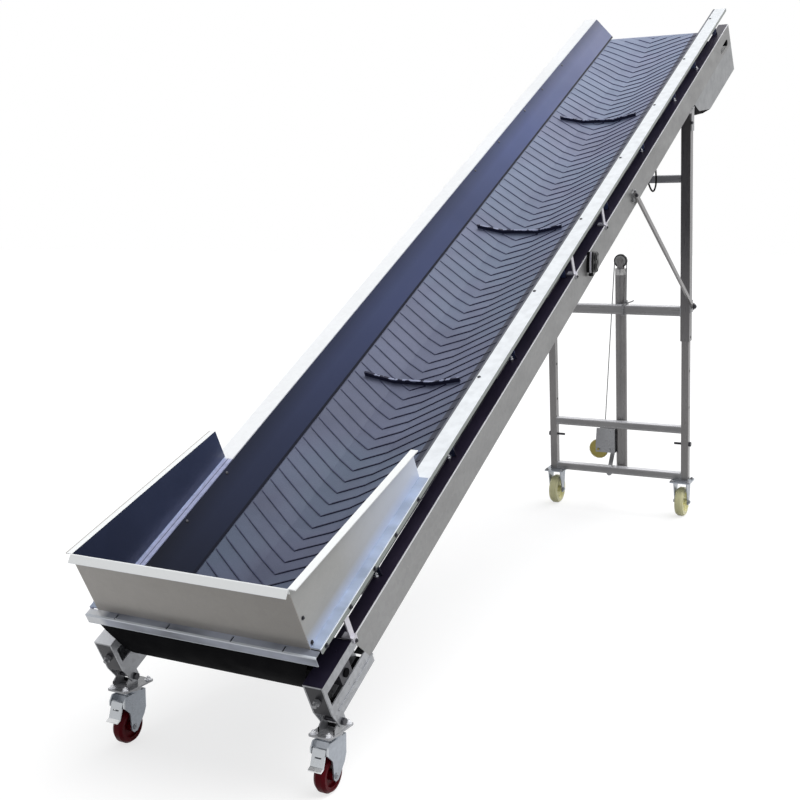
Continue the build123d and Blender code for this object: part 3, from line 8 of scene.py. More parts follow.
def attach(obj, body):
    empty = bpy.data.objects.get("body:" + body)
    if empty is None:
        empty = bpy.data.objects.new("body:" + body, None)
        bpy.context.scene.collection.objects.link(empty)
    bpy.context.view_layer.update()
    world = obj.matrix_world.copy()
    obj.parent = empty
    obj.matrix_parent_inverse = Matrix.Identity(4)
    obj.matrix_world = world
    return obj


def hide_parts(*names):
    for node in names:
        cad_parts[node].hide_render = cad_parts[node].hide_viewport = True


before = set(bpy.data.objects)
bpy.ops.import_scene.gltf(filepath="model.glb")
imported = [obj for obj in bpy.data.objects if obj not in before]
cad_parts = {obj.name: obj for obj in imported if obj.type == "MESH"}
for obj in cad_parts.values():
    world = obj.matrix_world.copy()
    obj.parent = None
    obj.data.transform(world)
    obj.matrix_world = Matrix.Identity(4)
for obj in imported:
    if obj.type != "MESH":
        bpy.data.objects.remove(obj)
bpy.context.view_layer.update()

# Places, in metres. Pieces of the bed are drawn flat, as x across, s along and n up, and then tilted.
# Pieces of the portal are drawn upright, as x across, u behind and v up, and then leaned.
SHIFT_Y = -1.968022
BED_HEIGHT = 0.368
PORTAL_FOOT_Y = 3.508395
INCLINE = math.radians(28.4)
LEAN = math.radians(5.6)
BED = Matrix.Translation((0, SHIFT_Y, BED_HEIGHT)) @ Matrix.Rotation(INCLINE, 4, "X")
PORTAL = Matrix.Translation((0, PORTAL_FOOT_Y + SHIFT_Y, 0)) @ Matrix.Rotation(LEAN, 4, "X")
WORLD = Matrix.Translation((0, SHIFT_Y, 0))

# Belt, with the length over which its trough flattens towards each drum
BELT_HALF_FLAT = 0.075
TROUGH_DEPTH = 0.050
TROUGH_RISE = math.tan(math.radians(13))
TAIL_S = 0.005
HEAD_S = 4.450
TRANSITION = 0.495
SET_DOWN = 0.0125
DRUM_GAP = 0.006

# Ribs. The belt's solid has those from RIB_FIRST up to the one before RIB_PAST.
RIB_PITCH = 0.056
RIB_FIRST = 0.515
RIBS = 59
RIB_PAST = RIB_FIRST + RIBS * RIB_PITCH
RIBS_BEFORE = 12
RIBS_PAST = 11
RIB_SLOPE = 0.68
RIB_INNER = 0.008
RIB_OUTER = 0.205
RIB_END = 0.2325
RIB_HALF = 0.004
RIB_HEIGHT = 0.003
RIB_SINK = 0.0015

# Painted shadow line along each rib, painted shadow on the belt's right edge, lowest level of its upper run,
# and its cleats' painted shadow from the foot up to a ragged top
LINE_HALF = 0.0025
LINE_SHIFT = 0.0021
BELT_RIGHT_EDGE = 0.210
UPPER_RUN = -0.075
CLEAT_FOOT = 0.0045
CLEAT_SHADOW_TOP = (0.0165, 0.0215)

# Channels, take-up slots, cover rails and skirts, across and up
CHANNEL_EDGE = 0.3735
FLANGE_TOP = -0.0008
FLANGE_FOOT = -0.0034
SLOT_INNER = 0.3208
SLOT_OUTER = 0.3718
SLOT_TOP = -0.006
RAIL_INNER_BAND = 0.3225
RAIL_MIDDLE = 0.331
RAIL_LIP = 0.3796
SEAM_HALF = 0.0012
SKIRT_OUTSIDE = 0.3475
SKIRT_FOOT = -0.003

# Hopper: its end along the bed, the sloping rim of its side walls as s and n at both ends, the front
# wall's rim, the foot of both walls, and the front flange's fold and hem
HOPPER_END = 0.62
RIM_START = (-0.062, 0.2965)
RIM_STOP = (0.625, 0.1965)
FRONT_RIM = 0.2845
SIDE_FOOT = 0.0995
SIDE_OUTSIDE = 0.3635
FRONT_FOOT = 0.0935
FRONT_LEFT_END = -0.315
FOLD_AHEAD = 0.0815
FOLD_LEVEL = 0.0882
HEM_TOP = 0.0655

# Portal: levels of two cross tubes, half widths of the tubes, the mast and its pulley
UPPER_CROSS_V = 1.064
BOTTOM_CROSS_V = 0.208
OUTER_TUBE_HALF = 0.023
INNER_TUBE_HALF = 0.018
MAST_U = 0.0575
PULLEY_V = 1.303
HUB_RADIUS = 0.027

# Casters: middle of the front wheels and of the rear ones across, and the rear axles' place along u
FRONT_WHEEL_X = 0.338
REAR_WHEEL_X = 0.340
REAR_AXLE_U = -0.014

# Switch box and motor cable
SWITCH_Y = 1.8753
SWITCH_Z = 1.3400

OUT = (1, 0, 0)
UP = (0, 0, 1)
DOWN = (0, 0, -1)

# Camera, at the photograph's angle
eye = bpy.data.objects.new("camera", bpy.data.cameras.new("camera"))
bpy.context.scene.collection.objects.link(eye)
eye.location = (1.9213, -4.542722, 1.470)
eye.rotation_euler = (math.radians(81.912), math.radians(0.1), math.radians(27.988))
eye.data.lens = 54.46
eye.data.sensor_width = 36
bpy.context.scene.camera = eye


# Finishes

class Finish:
    """A material built from nodes, with real-scale variation."""

    def __init__(self, name):
        self.material = bpy.data.materials.new(name)
        self.material.use_nodes = True
        self.tree = self.material.node_tree
        self.tree.nodes.clear()
        output = self.node("ShaderNodeOutputMaterial")
        self.shader = self.node("ShaderNodeBsdfPrincipled")
        self.tree.links.new(self.shader.outputs[0], output.inputs["Surface"])
        self.coords = self.node("ShaderNodeTexCoord").outputs["Object"]
        self.normal = self.node("ShaderNodeNewGeometry").outputs["Normal"]
        self.bed = self.axes(self.moved(BED))

    def node(self, kind, **settings):
        made = self.tree.nodes.new(kind)
        for key, value in settings.items():
            setattr(made, key, value)
        return made

    def feed(self, socket, value):
        if isinstance(value, bpy.types.NodeSocket):
            self.tree.links.new(value, socket)
        else:
            socket.default_value = value

    def node_fed(self, kind, value):
        made = self.node(kind)
        self.feed(made.inputs[0], value)
        return made

    def maths(self, operation, a, b=0.0):
        made = self.node("ShaderNodeMath", operation=operation)
        self.feed(made.inputs[0], a)
        self.feed(made.inputs[1], b)
        return made.outputs[0]

    def times(self, *values):
        """The product of all values."""
        product = values[0]
        for value in values[1:]:
            product = self.maths("MULTIPLY", product, value)
        return product

    def invert(self, mask):
        """1 where the mask is 0, and 0 where it is 1."""
        return self.maths("SUBTRACT", 1.0, mask)

    def size(self, value):
        """The value without its sign."""
        return self.maths("ABSOLUTE", value)

    def axes(self, vector):
        return self.node_fed("ShaderNodeSeparateXYZ", vector).outputs

    def moved(self, matrix):
        """Object coordinates taken into a tilted frame."""
        back = matrix.inverted()
        made = self.node("ShaderNodeMapping", vector_type="POINT")
        self.feed(made.inputs["Vector"], self.coords)
        made.inputs["Location"].default_value = back.to_translation()
        made.inputs["Rotation"].default_value = back.to_euler("XYZ")
        return made.outputs[0]

    def noise(self, scale, detail=3.0, stretch=None):
        source = self.coords
        if stretch:
            mapping = self.node_fed("ShaderNodeMapping", source)
            mapping.inputs["Scale"].default_value = stretch
            source = mapping.outputs[0]
        made = self.node_fed("ShaderNodeTexNoise", source)
        made.inputs["Scale"].default_value = scale
        made.inputs["Detail"].default_value = detail
        return made.outputs["Fac"]

    def cells(self, scale):
        made = self.node_fed("ShaderNodeTexVoronoi", self.coords)
        made.inputs["Scale"].default_value = scale
        return self.axes(made.outputs["Color"])[0]

    def between(self, fac, start, end, low, high):
        """fac from start to end becomes low to high."""
        made = self.node("ShaderNodeMapRange")
        for socket, value in zip(made.inputs, (fac, start, end, low, high)):
            self.feed(socket, value)
        return made.outputs[0]

    def step(self, value, edge, soft=0.0004):
        """0 below the edge and 1 above it."""
        return self.between(value, edge - soft, edge + soft, 0.0, 1.0)

    def below(self, value, edge, soft=0.0004):
        """1 below the edge and 0 above it."""
        return self.invert(self.step(value, edge, soft))

    def uneven(self, scale, low, high, reach=0.2, detail=3.0, stretch=None):
        """Noise that runs from low to high, and sharper where its reach is small."""
        return self.between(self.noise(scale, detail, stretch), 0.5 - reach, 0.5 + reach, low, high)

    def mix(self, fac, a, b):
        made = self.node("ShaderNodeMix", data_type="RGBA")
        self.feed(made.inputs[0], fac)
        self.feed(made.inputs[6], a)
        self.feed(made.inputs[7], b)
        return made.outputs[2]

    def brighten(self, colour, factor):
        made = self.node("ShaderNodeHueSaturation")
        self.feed(made.inputs["Color"], colour)
        self.feed(made.inputs["Value"], factor)
        return made.outputs[0]

    def recolour(self, colour):
        self.feed(self.shader.inputs["Base Color"], colour)

    def worn_edges(self, strength, radius=0.0015):
        """Up to the strength along bent edges, broken up by noise, and 0 on flats."""
        bevel = self.node("ShaderNodeBevel", samples=4)
        bevel.inputs["Radius"].default_value = radius
        dot = self.node("ShaderNodeVectorMath", operation="DOT_PRODUCT")
        self.feed(dot.inputs[0], bevel.outputs[0])
        self.feed(dot.inputs[1], self.normal)
        edge = self.between(dot.outputs["Value"], 0.995, 0.86, 0.0, 1.0)
        return self.times(edge, self.uneven(60, 0.25, 1.0, reach=0.08), strength)

    def surface(
        self, colour, metallic=0.0, rough=(0.35, 0.5), bump=0.1, bump_scale=260.0, stretch=None, sheen=0.0,
        gloss=0.5,
    ):
        """Feeds the shader, with uneven roughness and a fine bump."""
        shader = self.shader
        shader.inputs["Specular IOR Level"].default_value = gloss
        shader.inputs["Metallic"].default_value = metallic
        self.feed(shader.inputs["Base Color"], colour)
        self.feed(shader.inputs["Roughness"], self.uneven(18.0, *rough, stretch=stretch))
        if sheen:
            shader.inputs["Sheen Weight"].default_value = sheen
            shader.inputs["Sheen Roughness"].default_value = 0.4
        made = self.node("ShaderNodeBump")
        made.inputs["Strength"].default_value = bump
        made.inputs["Distance"].default_value = 0.001
        self.feed(made.inputs["Height"], self.noise(bump_scale, detail=4, stretch=stretch))
        self.feed(shader.inputs["Normal"], made.outputs[0])
        return self.material


def rgb(red, green, blue):
    """A linear colour from an sRGB one in 0 to 255."""
    def linear(value):
        part = value / 255
        return part / 12.92 if part <= 0.04045 else ((part + 0.055) / 1.055) ** 2.4
    return (linear(red), linear(green), linear(blue), 1.0)


def sheet_metal(name, colour, tone=0.07, spangle=0.05, metallic=0.3, rough=(0.28, 0.42), stretch=None):
    """Galvanised sheet: soft tone changes, faint spangle and paler edges."""
    made = Finish(name)
    base = made.brighten(colour, made.uneven(2.2, 1 - tone, 1 + tone, stretch=stretch))
    base = made.brighten(base, made.between(made.cells(70), 0.0, 1.0, 1 - spangle, 1 + spangle))
    base = made.brighten(base, made.uneven(400, 0.97, 1.03, detail=2))
    made.base = made.mix(made.worn_edges(0.35), base, made.brighten(colour, 1.35))
    made.surface(made.base, metallic=metallic, rough=rough, bump=0.05, stretch=stretch)
    return made


def zinc_steel(name, colour, grain=(1, 1, 1), metallic=0.3, rough=(0.25, 0.4), tone=0.09):
    """Plated steel with drawn streaks along one direction."""
    made = Finish(name)
    base = made.brighten(colour, made.uneven(5, 1 - tone, 1 + tone))
    base = made.brighten(base, made.uneven(90, 0.93, 1.07, stretch=grain))
    made.base = made.mix(made.worn_edges(0.3, 0.001), base, made.brighten(colour, 1.4))
    made.surface(made.base, metallic=metallic, rough=rough, bump=0.06, bump_scale=150, stretch=grain)
    return made


def plastic(name, colour, rough, tone=0.05, bump=0.12, edge=0.05, gloss=0.4):
    """Moulded plastic or rubber with a fine grain."""
    made = Finish(name)
    base = made.brighten(colour, made.uneven(9, 1 - tone, 1 + tone))
    base = made.brighten(base, made.uneven(300, 0.95, 1.05))
    base = made.mix(made.worn_edges(edge, 0.0008), base, made.mix(0.5, colour, rgb(190, 190, 196)))
    return made.surface(base, rough=rough, bump=bump, bump_scale=500, gloss=gloss)


def channel_metal():
    """Grey web, a little lighter towards the tail, with a painted highlight on the bent edge and painted dark
    purple shade on the top flange.
    """
    made = sheet_metal(
        "channel_metal", rgb(150, 150, 150), metallic=0.2, rough=(0.3, 0.45), stretch=(1, 0.4, 1),
    )
    x, s, n = made.bed
    web = made.brighten(made.base, made.between(s, 0.3, 2.0, 0.94, 0.7))
    # Painted shade and reflection: the top flange is dark purple, for the shadow under the rail and the
    # skirt's dark reflection.
    flange = made.brighten(rgb(46, 40, 58), made.uneven(6, 0.75, 1.15, reach=0.15))
    base = made.mix(made.step(n, FLANGE_TOP), web, flange)
    # Painted highlight: a near-white line along the channel's bent outer edge.
    bend = made.times(made.step(made.size(x), CHANNEL_EDGE, 0.0003), made.step(n, FLANGE_FOOT))
    made.recolour(made.mix(bend, base, rgb(246, 246, 250)))
    return made.material


def takeup_metal():
    """Mottled light plate with a slot painted dark as shade, and a top painted dark on the right as shade and
    pale on the left as light.
    """
    made = sheet_metal("takeup_metal", rgb(162, 164, 168), 0.2, 0.12, metallic=0.35, rough=(0.25, 0.4))
    x, s, n = made.bed
    # Painted light and shade on the top: dark purple shade on the right, as on the channel's flange, and
    # near-white light on the left.
    right = made.brighten(rgb(40, 36, 54), made.uneven(8, 0.8, 1.2, reach=0.15))
    top = made.mix(made.step(x, 0.0), rgb(238, 240, 244), right)
    base = made.mix(made.step(n, FLANGE_TOP), made.base, top)
    # Painted shade inside the take-up slot.
    width = made.size(x)
    slot = made.times(made.step(width, SLOT_INNER), made.below(width, SLOT_OUTER), made.below(n, SLOT_TOP))
    made.recolour(made.mix(slot, base, rgb(20, 20, 28)))
    return made.material


def hopper_sheet(made, outside, strip, inward, rim, foot):
    """Colours shared by the hopper's walls: foot strip, navy painted as the belt's reflection on the side
    towards the belt, and a rim painted pale as lit from above.
    """
    s = made.bed[1]
    # Painted reflection: the faces towards the belt are navy, lighter along the bed towards the head.
    inside_reflection = made.times(made.step(inward, 0.85, 0.05), made.invert(foot))
    light = made.times(made.between(s, 0.0, 0.6, 0.78, 1.3), made.uneven(3.5, 0.85, 1.15))
    base = made.mix(foot, outside, strip)
    base = made.mix(inside_reflection, base, made.brighten(rgb(53, 61, 88), light))
    # Painted light: the rim of each wall is near white, as lit from above.
    return made.mix(made.times(rim, made.invert(inside_reflection)), base, rgb(244, 246, 246))


def hopper_side_metal():
    """Side walls: bluish towards the belt's head and at the foot, with a rim that slopes down and is painted
    pale as lit.
    """
    made = sheet_metal("hopper_metal", rgb(168, 168, 166), 0.04, 0.02, metallic=0.15, rough=(0.3, 0.4))
    x, s, n = made.bed
    inward = made.times(made.axes(made.normal)[0], made.maths("SIGN", x), -1.0)
    level = made.between(s, RIM_START[0], RIM_STOP[0], RIM_START[1], RIM_STOP[1])
    rim = made.step(made.maths("SUBTRACT", n, level), 0.0)
    outside = made.mix(made.between(s, 0.15, 0.6, 0.0, 0.7), made.base, rgb(214, 223, 243))
    outside = made.mix(made.between(n, SIDE_FOOT, 0.140, 0.8, 0.0), outside, rgb(204, 215, 238))
    strip = made.brighten(rgb(172, 185, 208), made.uneven(14, 0.85, 1.2, reach=0.15, stretch=(0.4, 1, 1)))
    base = hopper_sheet(made, outside, strip, inward, rim, made.below(n, SIDE_FOOT))
    # The left wall's outer face above the rim gets a greyer colour in place of the rim's painted light.
    left_edge = made.times(made.step(made.times(x, -1.0), SIDE_OUTSIDE), rim)
    made.recolour(made.mix(left_edge, base, rgb(186, 183, 180)))
    return made.material


def hopper_front_metal():
    """Front wall: darker to the right, with a streaked foot, a painted highlight on its flange's fold and a
    pale hem.
    """
    made = sheet_metal("front_metal", rgb(165, 161, 156), 0.04, 0.02, metallic=0.15, rough=(0.3, 0.4))
    x, s, n = made.bed
    normal = made.axes(made.normal)
    along = made.times(normal[1], math.cos(INCLINE))
    inward = made.maths("ADD", along, made.times(normal[2], math.sin(INCLINE)))
    rim = made.step(made.maths("SUBTRACT", n, FRONT_RIM), 0.0)
    outside = made.brighten(made.base, made.between(x, -0.33, 0.3, 1.07, 0.82))
    strip = made.brighten(rgb(148, 153, 166), made.uneven(14, 0.6, 1.5, reach=0.15, stretch=(0.4, 1, 1)))
    strip = made.mix(made.below(x, FRONT_LEFT_END, 0.012), strip, rgb(240, 242, 246))
    base = hopper_sheet(made, outside, strip, inward, rim, made.below(n, FRONT_FOOT))
    # Painted highlight on the flange's fold.
    fold = made.times(made.step(made.times(s, -1.0), FOLD_AHEAD), made.step(n, FOLD_LEVEL))
    base = made.mix(fold, base, rgb(222, 228, 236))
    made.recolour(made.mix(made.below(n, HEM_TOP), base, rgb(196, 202, 210)))
    return made.material


def rail_metal():
    """Near-white cover rails. In the hopper the left one is painted bluish and dimmer as the hopper's shade
    and the navy walls' reflection, with a thin dark seam. The right one's lip is painted grey as shade.
    """
    made = sheet_metal("rail_metal", rgb(245, 247, 249), 0.03, 0.02, metallic=0.1, rough=(0.3, 0.4))
    x, s, n = made.bed
    right = made.step(x, 0.0)
    left_end = made.times(made.below(s, HOPPER_END, 0.004), made.step(made.times(x, -1.0), 0.0))
    # Painted shade and reflection: the left rail inside the hopper is tinted bluish.
    bluish = made.brighten(rgb(178, 184, 216), made.uneven(60, 0.9, 1.1, reach=0.15))
    base = made.mix(left_end, made.base, bluish)
    seam = made.below(made.size(made.maths("ADD", x, RAIL_MIDDLE)), SEAM_HALF)
    base = made.mix(made.times(left_end, seam), base, rgb(58, 60, 84))
    base = made.mix(right, base, made.brighten(rgb(238, 242, 246), made.uneven(30, 0.93, 1.04, reach=0.15)))
    # Painted shade on the right rail's down-turned lip.
    base = made.mix(made.step(x, RAIL_LIP, 0.0002), base, rgb(134, 140, 136))
    base = made.mix(made.times(right, made.below(x, RAIL_INNER_BAND)), base, rgb(84, 87, 96))
    made.recolour(base)
    return made.material


def navy_skirt():
    """Satin navy paint, with painted shade making it near black in the hopper, along the top under the rail,
    at its foot and on its outer face, and a painted reflection making it lighter blue towards the head.
    """
    made = Finish("skirt_blue")
    x, s, n = made.bed
    # Painted shade in the hopper and painted reflection towards the head: the navy runs from near black to
    # lighter blue along the bed.
    base = made.mix(made.between(s, 0.1, 3.2, 0.0, 1.0), rgb(23, 28, 44), rgb(80, 91, 134))
    base = made.mix(made.between(s, 3.2, HEAD_S, 0.0, 1.0), base, rgb(112, 118, 150))
    base = made.brighten(base, made.uneven(1.8, 0.85, 1.15, stretch=(1, 0.5, 1)))
    # Painted shadow of the rail's overhang: darker towards the top.
    base = made.brighten(base, made.between(n, 0.045, 0.092, 1.0, 0.55))
    base = made.brighten(base, made.uneven(350, 0.96, 1.04))
    # Painted shadow in the gap at the skirt's foot, and painted shade on its outer face under the rail.
    base = made.mix(made.below(n, SKIRT_FOOT), base, rgb(18, 22, 38))
    base = made.mix(made.step(made.size(x), SKIRT_OUTSIDE), base, rgb(34, 30, 44))
    base = made.mix(made.worn_edges(0.25), base, rgb(110, 118, 146))
    return made.surface(base, rough=(0.4, 0.5), bump=0.05, gloss=0.1)


def rib_shadow_line(made, along):
    """Mask and colour of the painted shadow line along each rib, darker on the arms to the right."""
    x, s, n = made.bed
    width = made.size(x)
    apex = made.maths("SUBTRACT", s, made.times(made.maths("SUBTRACT", width, RIB_INNER), RIB_SLOPE))
    # Twenty whole pitches keep the remainder positive, and half a pitch centres it on a rib.
    apex = made.maths("ADD", apex, 20.5 * RIB_PITCH - RIB_FIRST)
    away = made.maths("SUBTRACT", made.maths("MODULO", apex, RIB_PITCH), 0.5 * RIB_PITCH)
    line = made.below(made.size(made.maths("ADD", away, LINE_SHIFT)), LINE_HALF)
    line = made.times(line, made.step(n, UPPER_RUN), made.below(width, RIB_END))
    # Painted shadow colours: the arms to the right show the ribs' shaded flanks darker.
    left = made.mix(along, rgb(62, 66, 90), rgb(106, 112, 142))
    right = made.mix(along, rgb(26, 27, 50), rgb(56, 56, 90))
    return line, made.mix(made.step(x, 0.0, 0.004), left, right)


def belt_rubber():
    """Purple-grey belt with a fabric grain and dusty tones, painted paler towards the head as a reflection,
    with painted shadow on its ribs and right edge, and cleats painted dark navy as shadow.
    """
    made = Finish("belt_navy")
    x, s, n = made.bed
    # Painted reflection: the belt grows paler towards the head.
    along = made.between(s, 0.0, HEAD_S, 0.0, 1.0)
    base = made.mix(along, rgb(78, 83, 103), rgb(146, 152, 179))
    base = made.brighten(base, made.uneven(5, 0.88, 1.12))
    tint = made.between(made.noise(2.6), 0.42, 0.6, 0.0, 0.5)
    base = made.mix(tint, base, made.mix(along, rgb(80, 94, 110), rgb(142, 158, 182)))
    base = made.brighten(base, made.uneven(420, 0.92, 1.08, detail=2))
    # Painted shadow along each rib.
    line, shade = rib_shadow_line(made, along)
    base = made.mix(line, base, shade)
    # Painted shadow of the right skirt on the belt's margin beyond the ribs.
    right_edge_shadow = made.mix(along, rgb(52, 54, 66), rgb(88, 90, 106))
    base = made.mix(made.step(x, BELT_RIGHT_EDGE, 0.002), base, right_edge_shadow)
    rise = made.maths("MAXIMUM", made.maths("SUBTRACT", made.size(x), BELT_HALF_FLAT), 0.0)
    over = made.maths("SUBTRACT", made.maths("ADD", n, TROUGH_DEPTH), made.times(rise, TROUGH_RISE))
    troughed = made.times(
        made.below(s, HEAD_S - TRANSITION, 0.001), made.step(s, TAIL_S + TRANSITION, 0.001),
    )
    # Painted shadow: the cleats are dark navy from their foot up to a ragged line, above which they keep a
    # pale rubber colour.
    cleat = made.times(made.step(over, CLEAT_FOOT), troughed)
    base = made.mix(cleat, base, rgb(24, 26, 50))
    above_cleat_shadow = made.maths("GREATER_THAN", over, made.uneven(45, *CLEAT_SHADOW_TOP, reach=0.1))
    base = made.mix(made.times(above_cleat_shadow, cleat), base, rgb(150, 156, 182))
    return made.surface(base, rough=(0.45, 0.6), bump=0.2, bump_scale=900, sheen=0.1, gloss=0.2)


def leg_metal():
    """Plated tube, with painted shade darkening the front of the right leg towards its top, under the
    conveyor.
    """
    made = zinc_steel("leg_zinc", rgb(126, 124, 125), grain=(8, 8, 0.5))
    front = made.between(made.axes(made.normal)[1], -0.9, -0.5, 1.0, 0.0)
    place = made.axes(made.coords)
    # Painted shade: the right leg's front under the conveyor is darkened towards the top.
    shade = made.times(front, made.between(place[2], 0.8, 1.5, 0.0, 0.72), made.step(place[0], 0.0))
    made.recolour(made.mix(shade, made.base, rgb(58, 56, 58)))
    return made.material


def cross_metal():
    """Plated tube with a painted highlight along its top edges, as if they were rounded."""
    made = zinc_steel("zinc_cross_tube", rgb(140, 139, 140), grain=(0.5, 8, 8))
    bevel = made.node("ShaderNodeBevel", samples=8)
    bevel.inputs["Radius"].default_value = 0.011
    # Painted highlight where the bevelled normal turns upwards.
    top_edge_highlight = made.between(made.axes(bevel.outputs[0])[2], 0.1, 0.5, 0.0, 1.0)
    made.recolour(made.mix(top_edge_highlight, made.base, rgb(226, 226, 230)))
    return made.material


def clevis_metal():
    """Bright foot head with painted shade for a dark gap at the foot of its front face."""
    made = zinc_steel("clevis_zinc", rgb(160, 161, 164), rough=(0.2, 0.36), metallic=0.4, tone=0.2)
    height = made.axes(made.coords)[2]
    front = made.between(made.axes(made.normal)[1], -0.5, -0.2, 1.0, 0.0)
    # Painted shade: a black band on the front face stands for the shadowed gap.
    gap = made.times(made.step(height, 0.170), made.below(height, 0.183))
    made.recolour(made.mix(made.times(front, gap), made.base, rgb(16, 16, 18)))
    return made.material


def fork_metal():
    """Bluish plated fork with a brake pedal painted bright as lit from the front."""
    made = zinc_steel("fork_zinc", rgb(160, 166, 174), rough=(0.16, 0.3), metallic=0.5, tone=0.15)
    ahead = made.times(made.maths("ADD", made.axes(made.coords)[1], -SHIFT_Y), -1.0)
    # Painted light: the brake pedal's lip is made brighter, as if lit from the front.
    base = made.mix(made.step(ahead, 0.044, 0.003), made.base, rgb(206, 210, 214))
    made.recolour(made.mix(made.step(ahead, 0.0615, 0.001), base, rgb(250, 251, 252)))
    return made.material


def pulley_plastic():
    """Black rim round a pale hub."""
    made = Finish("pulley_plastic")
    x, u, v = made.axes(made.moved(PORTAL))
    up = made.maths("SUBTRACT", v, PULLEY_V)
    squares = made.maths("ADD", made.maths("POWER", x, 2.0), made.maths("POWER", up, 2.0))
    rim = made.step(made.maths("SQRT", squares), HUB_RADIUS, 0.001)
    return made.surface(made.mix(rim, rgb(184, 184, 182), rgb(26, 26, 29)), gloss=0.4)


RAIL_METAL = rail_metal()
CHANNEL_METAL = channel_metal()
TAKEUP_METAL = takeup_metal()
HOPPER_METAL = hopper_side_metal()
FRONT_METAL = hopper_front_metal()
SHEET = sheet_metal("galvanised", rgb(150, 150, 152)).material
POST_METAL = sheet_metal("post_metal", rgb(214, 212, 220)).material
GUARD_METAL = sheet_metal("guard_metal", rgb(132, 134, 137)).material
TUBE = zinc_steel("zinc_tube", rgb(132, 130, 130), grain=(8, 8, 0.5)).material
CROSS_TUBE = cross_metal()
PARTS = zinc_steel("zinc_parts", rgb(150, 151, 154), rough=(0.2, 0.36), metallic=0.4, tone=0.18).material
BLUE_ZINC = zinc_steel("blue_zinc", rgb(160, 166, 174), rough=(0.16, 0.3), metallic=0.5, tone=0.15).material
GEAR = zinc_steel("gear_zinc", rgb(150, 138, 72), rough=(0.3, 0.45), metallic=0.5).material
ROPE = zinc_steel("rope_steel", rgb(140, 140, 142), grain=(1, 1, 6)).material
STUD = zinc_steel("stud_zinc", rgb(225, 226, 230), rough=(0.18, 0.3), metallic=0.75).material
BRIGHT = zinc_steel("bright_zinc", rgb(196, 195, 194), rough=(0.2, 0.3), metallic=0.35).material
DARK_BOLT = zinc_steel("dark_bolt", rgb(52, 52, 58), rough=(0.3, 0.45), metallic=0.5).material
LEG = leg_metal()
CLEVIS = clevis_metal()
FORK = fork_metal()
PULLEY = pulley_plastic()
SKIRT = navy_skirt()
BELT = belt_rubber()
BLACK_RUBBER = plastic("black_rubber", rgb(12, 12, 14), (0.7, 0.85), bump=0.25, gloss=0.03, edge=0.02)
BLACK_PLASTIC = plastic("black_plastic", rgb(18, 18, 20), (0.4, 0.5), gloss=0.12)
GLOSS_BLACK = plastic("gloss_black", rgb(14, 14, 17), (0.1, 0.18), gloss=0.5, edge=0.15)
MAROON = plastic("maroon_tread", rgb(88, 4, 17), (0.3, 0.45), gloss=0.08, edge=0.03)
CREAM = plastic("cream_nylon", rgb(238, 234, 184), (0.35, 0.5), tone=0.1, edge=0.15)

FINISHED_NODES = (
    (CHANNEL_METAL, ("side_channel_right", "side_channel_left")),
    (SHEET, ("cross_formers", "slider_pan", "leg_brackets", "brace_pads")),
    (TAKEUP_METAL, ("takeup_frames",)),
    (RAIL_METAL, ("cover_rails",)),
    (POST_METAL, ("rail_posts",)),
    (FRONT_METAL, ("hopper_front",)),
    (HOPPER_METAL, ("hopper_sides",)),
    (GUARD_METAL, ("head_guard",)),
    (SKIRT, ("skirts", "skirt_brackets")),
    (BELT, ("belt",)),
    (BLACK_RUBBER, ("head_drum", "tail_drum", "tail_apron", "guard_flaps")),
    (BLACK_PLASTIC, ("switch_box",)),
    (PARTS, ("return_rollers", "tension_screws", "winch_frame", "winch_crank")),
    (DARK_BOLT, ("tail_bearings", "foot_bolts", "lock_pins")),
    (LEG, ("outer_legs",)),
    (TUBE, ("inner_legs", "braces", "mast")),
    (CROSS_TUBE, ("outer_cross_tubes", "inner_cross_tubes")),
    (PULLEY, ("mast_pulley",)),
    (GEAR, ("winch_drum",)),
    (ROPE, ("winch_rope", "hoist_rope", "hoist_anchor")),
    (CLEVIS, ("foot_clevis_right", "foot_clevis_left")),
    (FORK, ("front_fork_right", "front_fork_left")),
    (MAROON, ("front_wheel_right", "front_wheel_left")),
    (BLUE_ZINC, ("rear_fork_right", "rear_fork_left")),
    (CREAM, ("rear_wheel_right", "rear_wheel_left")),
)
for finish, names in FINISHED_NODES:
    for name in names:
        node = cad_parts[name]
        node.data.materials.clear()
        node.data.materials.append(finish)


# Pieces

def piece(name, mesh, place, finish, body):
    """A mesh moved to its place as a named piece on a body."""
    mesh.transform(place)
    bmesh.ops.recalc_face_normals(mesh, faces=mesh.faces)
    data = bpy.data.meshes.new(name)
    mesh.to_mesh(data)
    mesh.free()
    made = bpy.data.objects.new(name, data)
    bpy.context.scene.collection.objects.link(made)
    data.materials.append(finish)
    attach(made, body)
    return made


def extrude_profile(mesh, rings):
    """Faces between rings of points of one length, with both ends filled."""
    verts = [[mesh.verts.new(point) for point in ring] for ring in rings]
    count = len(verts[0])
    for a, b in zip(verts, verts[1:]):
        for k in range(count):
            mesh.faces.new((a[k], a[(k + 1) % count], b[(k + 1) % count], b[k]))
    mesh.faces.new(verts[0][::-1])
    mesh.faces.new(verts[-1])


def belt_top(x, s):
    """Height of the belt's top face over the bed's zero."""
    trough = -TROUGH_DEPTH + max(0.0, abs(x) - BELT_HALF_FLAT) * TROUGH_RISE
    near = min(s - TAIL_S, HEAD_S - s) / TRANSITION
    share = max(0.0, min(1.0, near))
    return -SET_DOWN * (1 - share) + trough * share


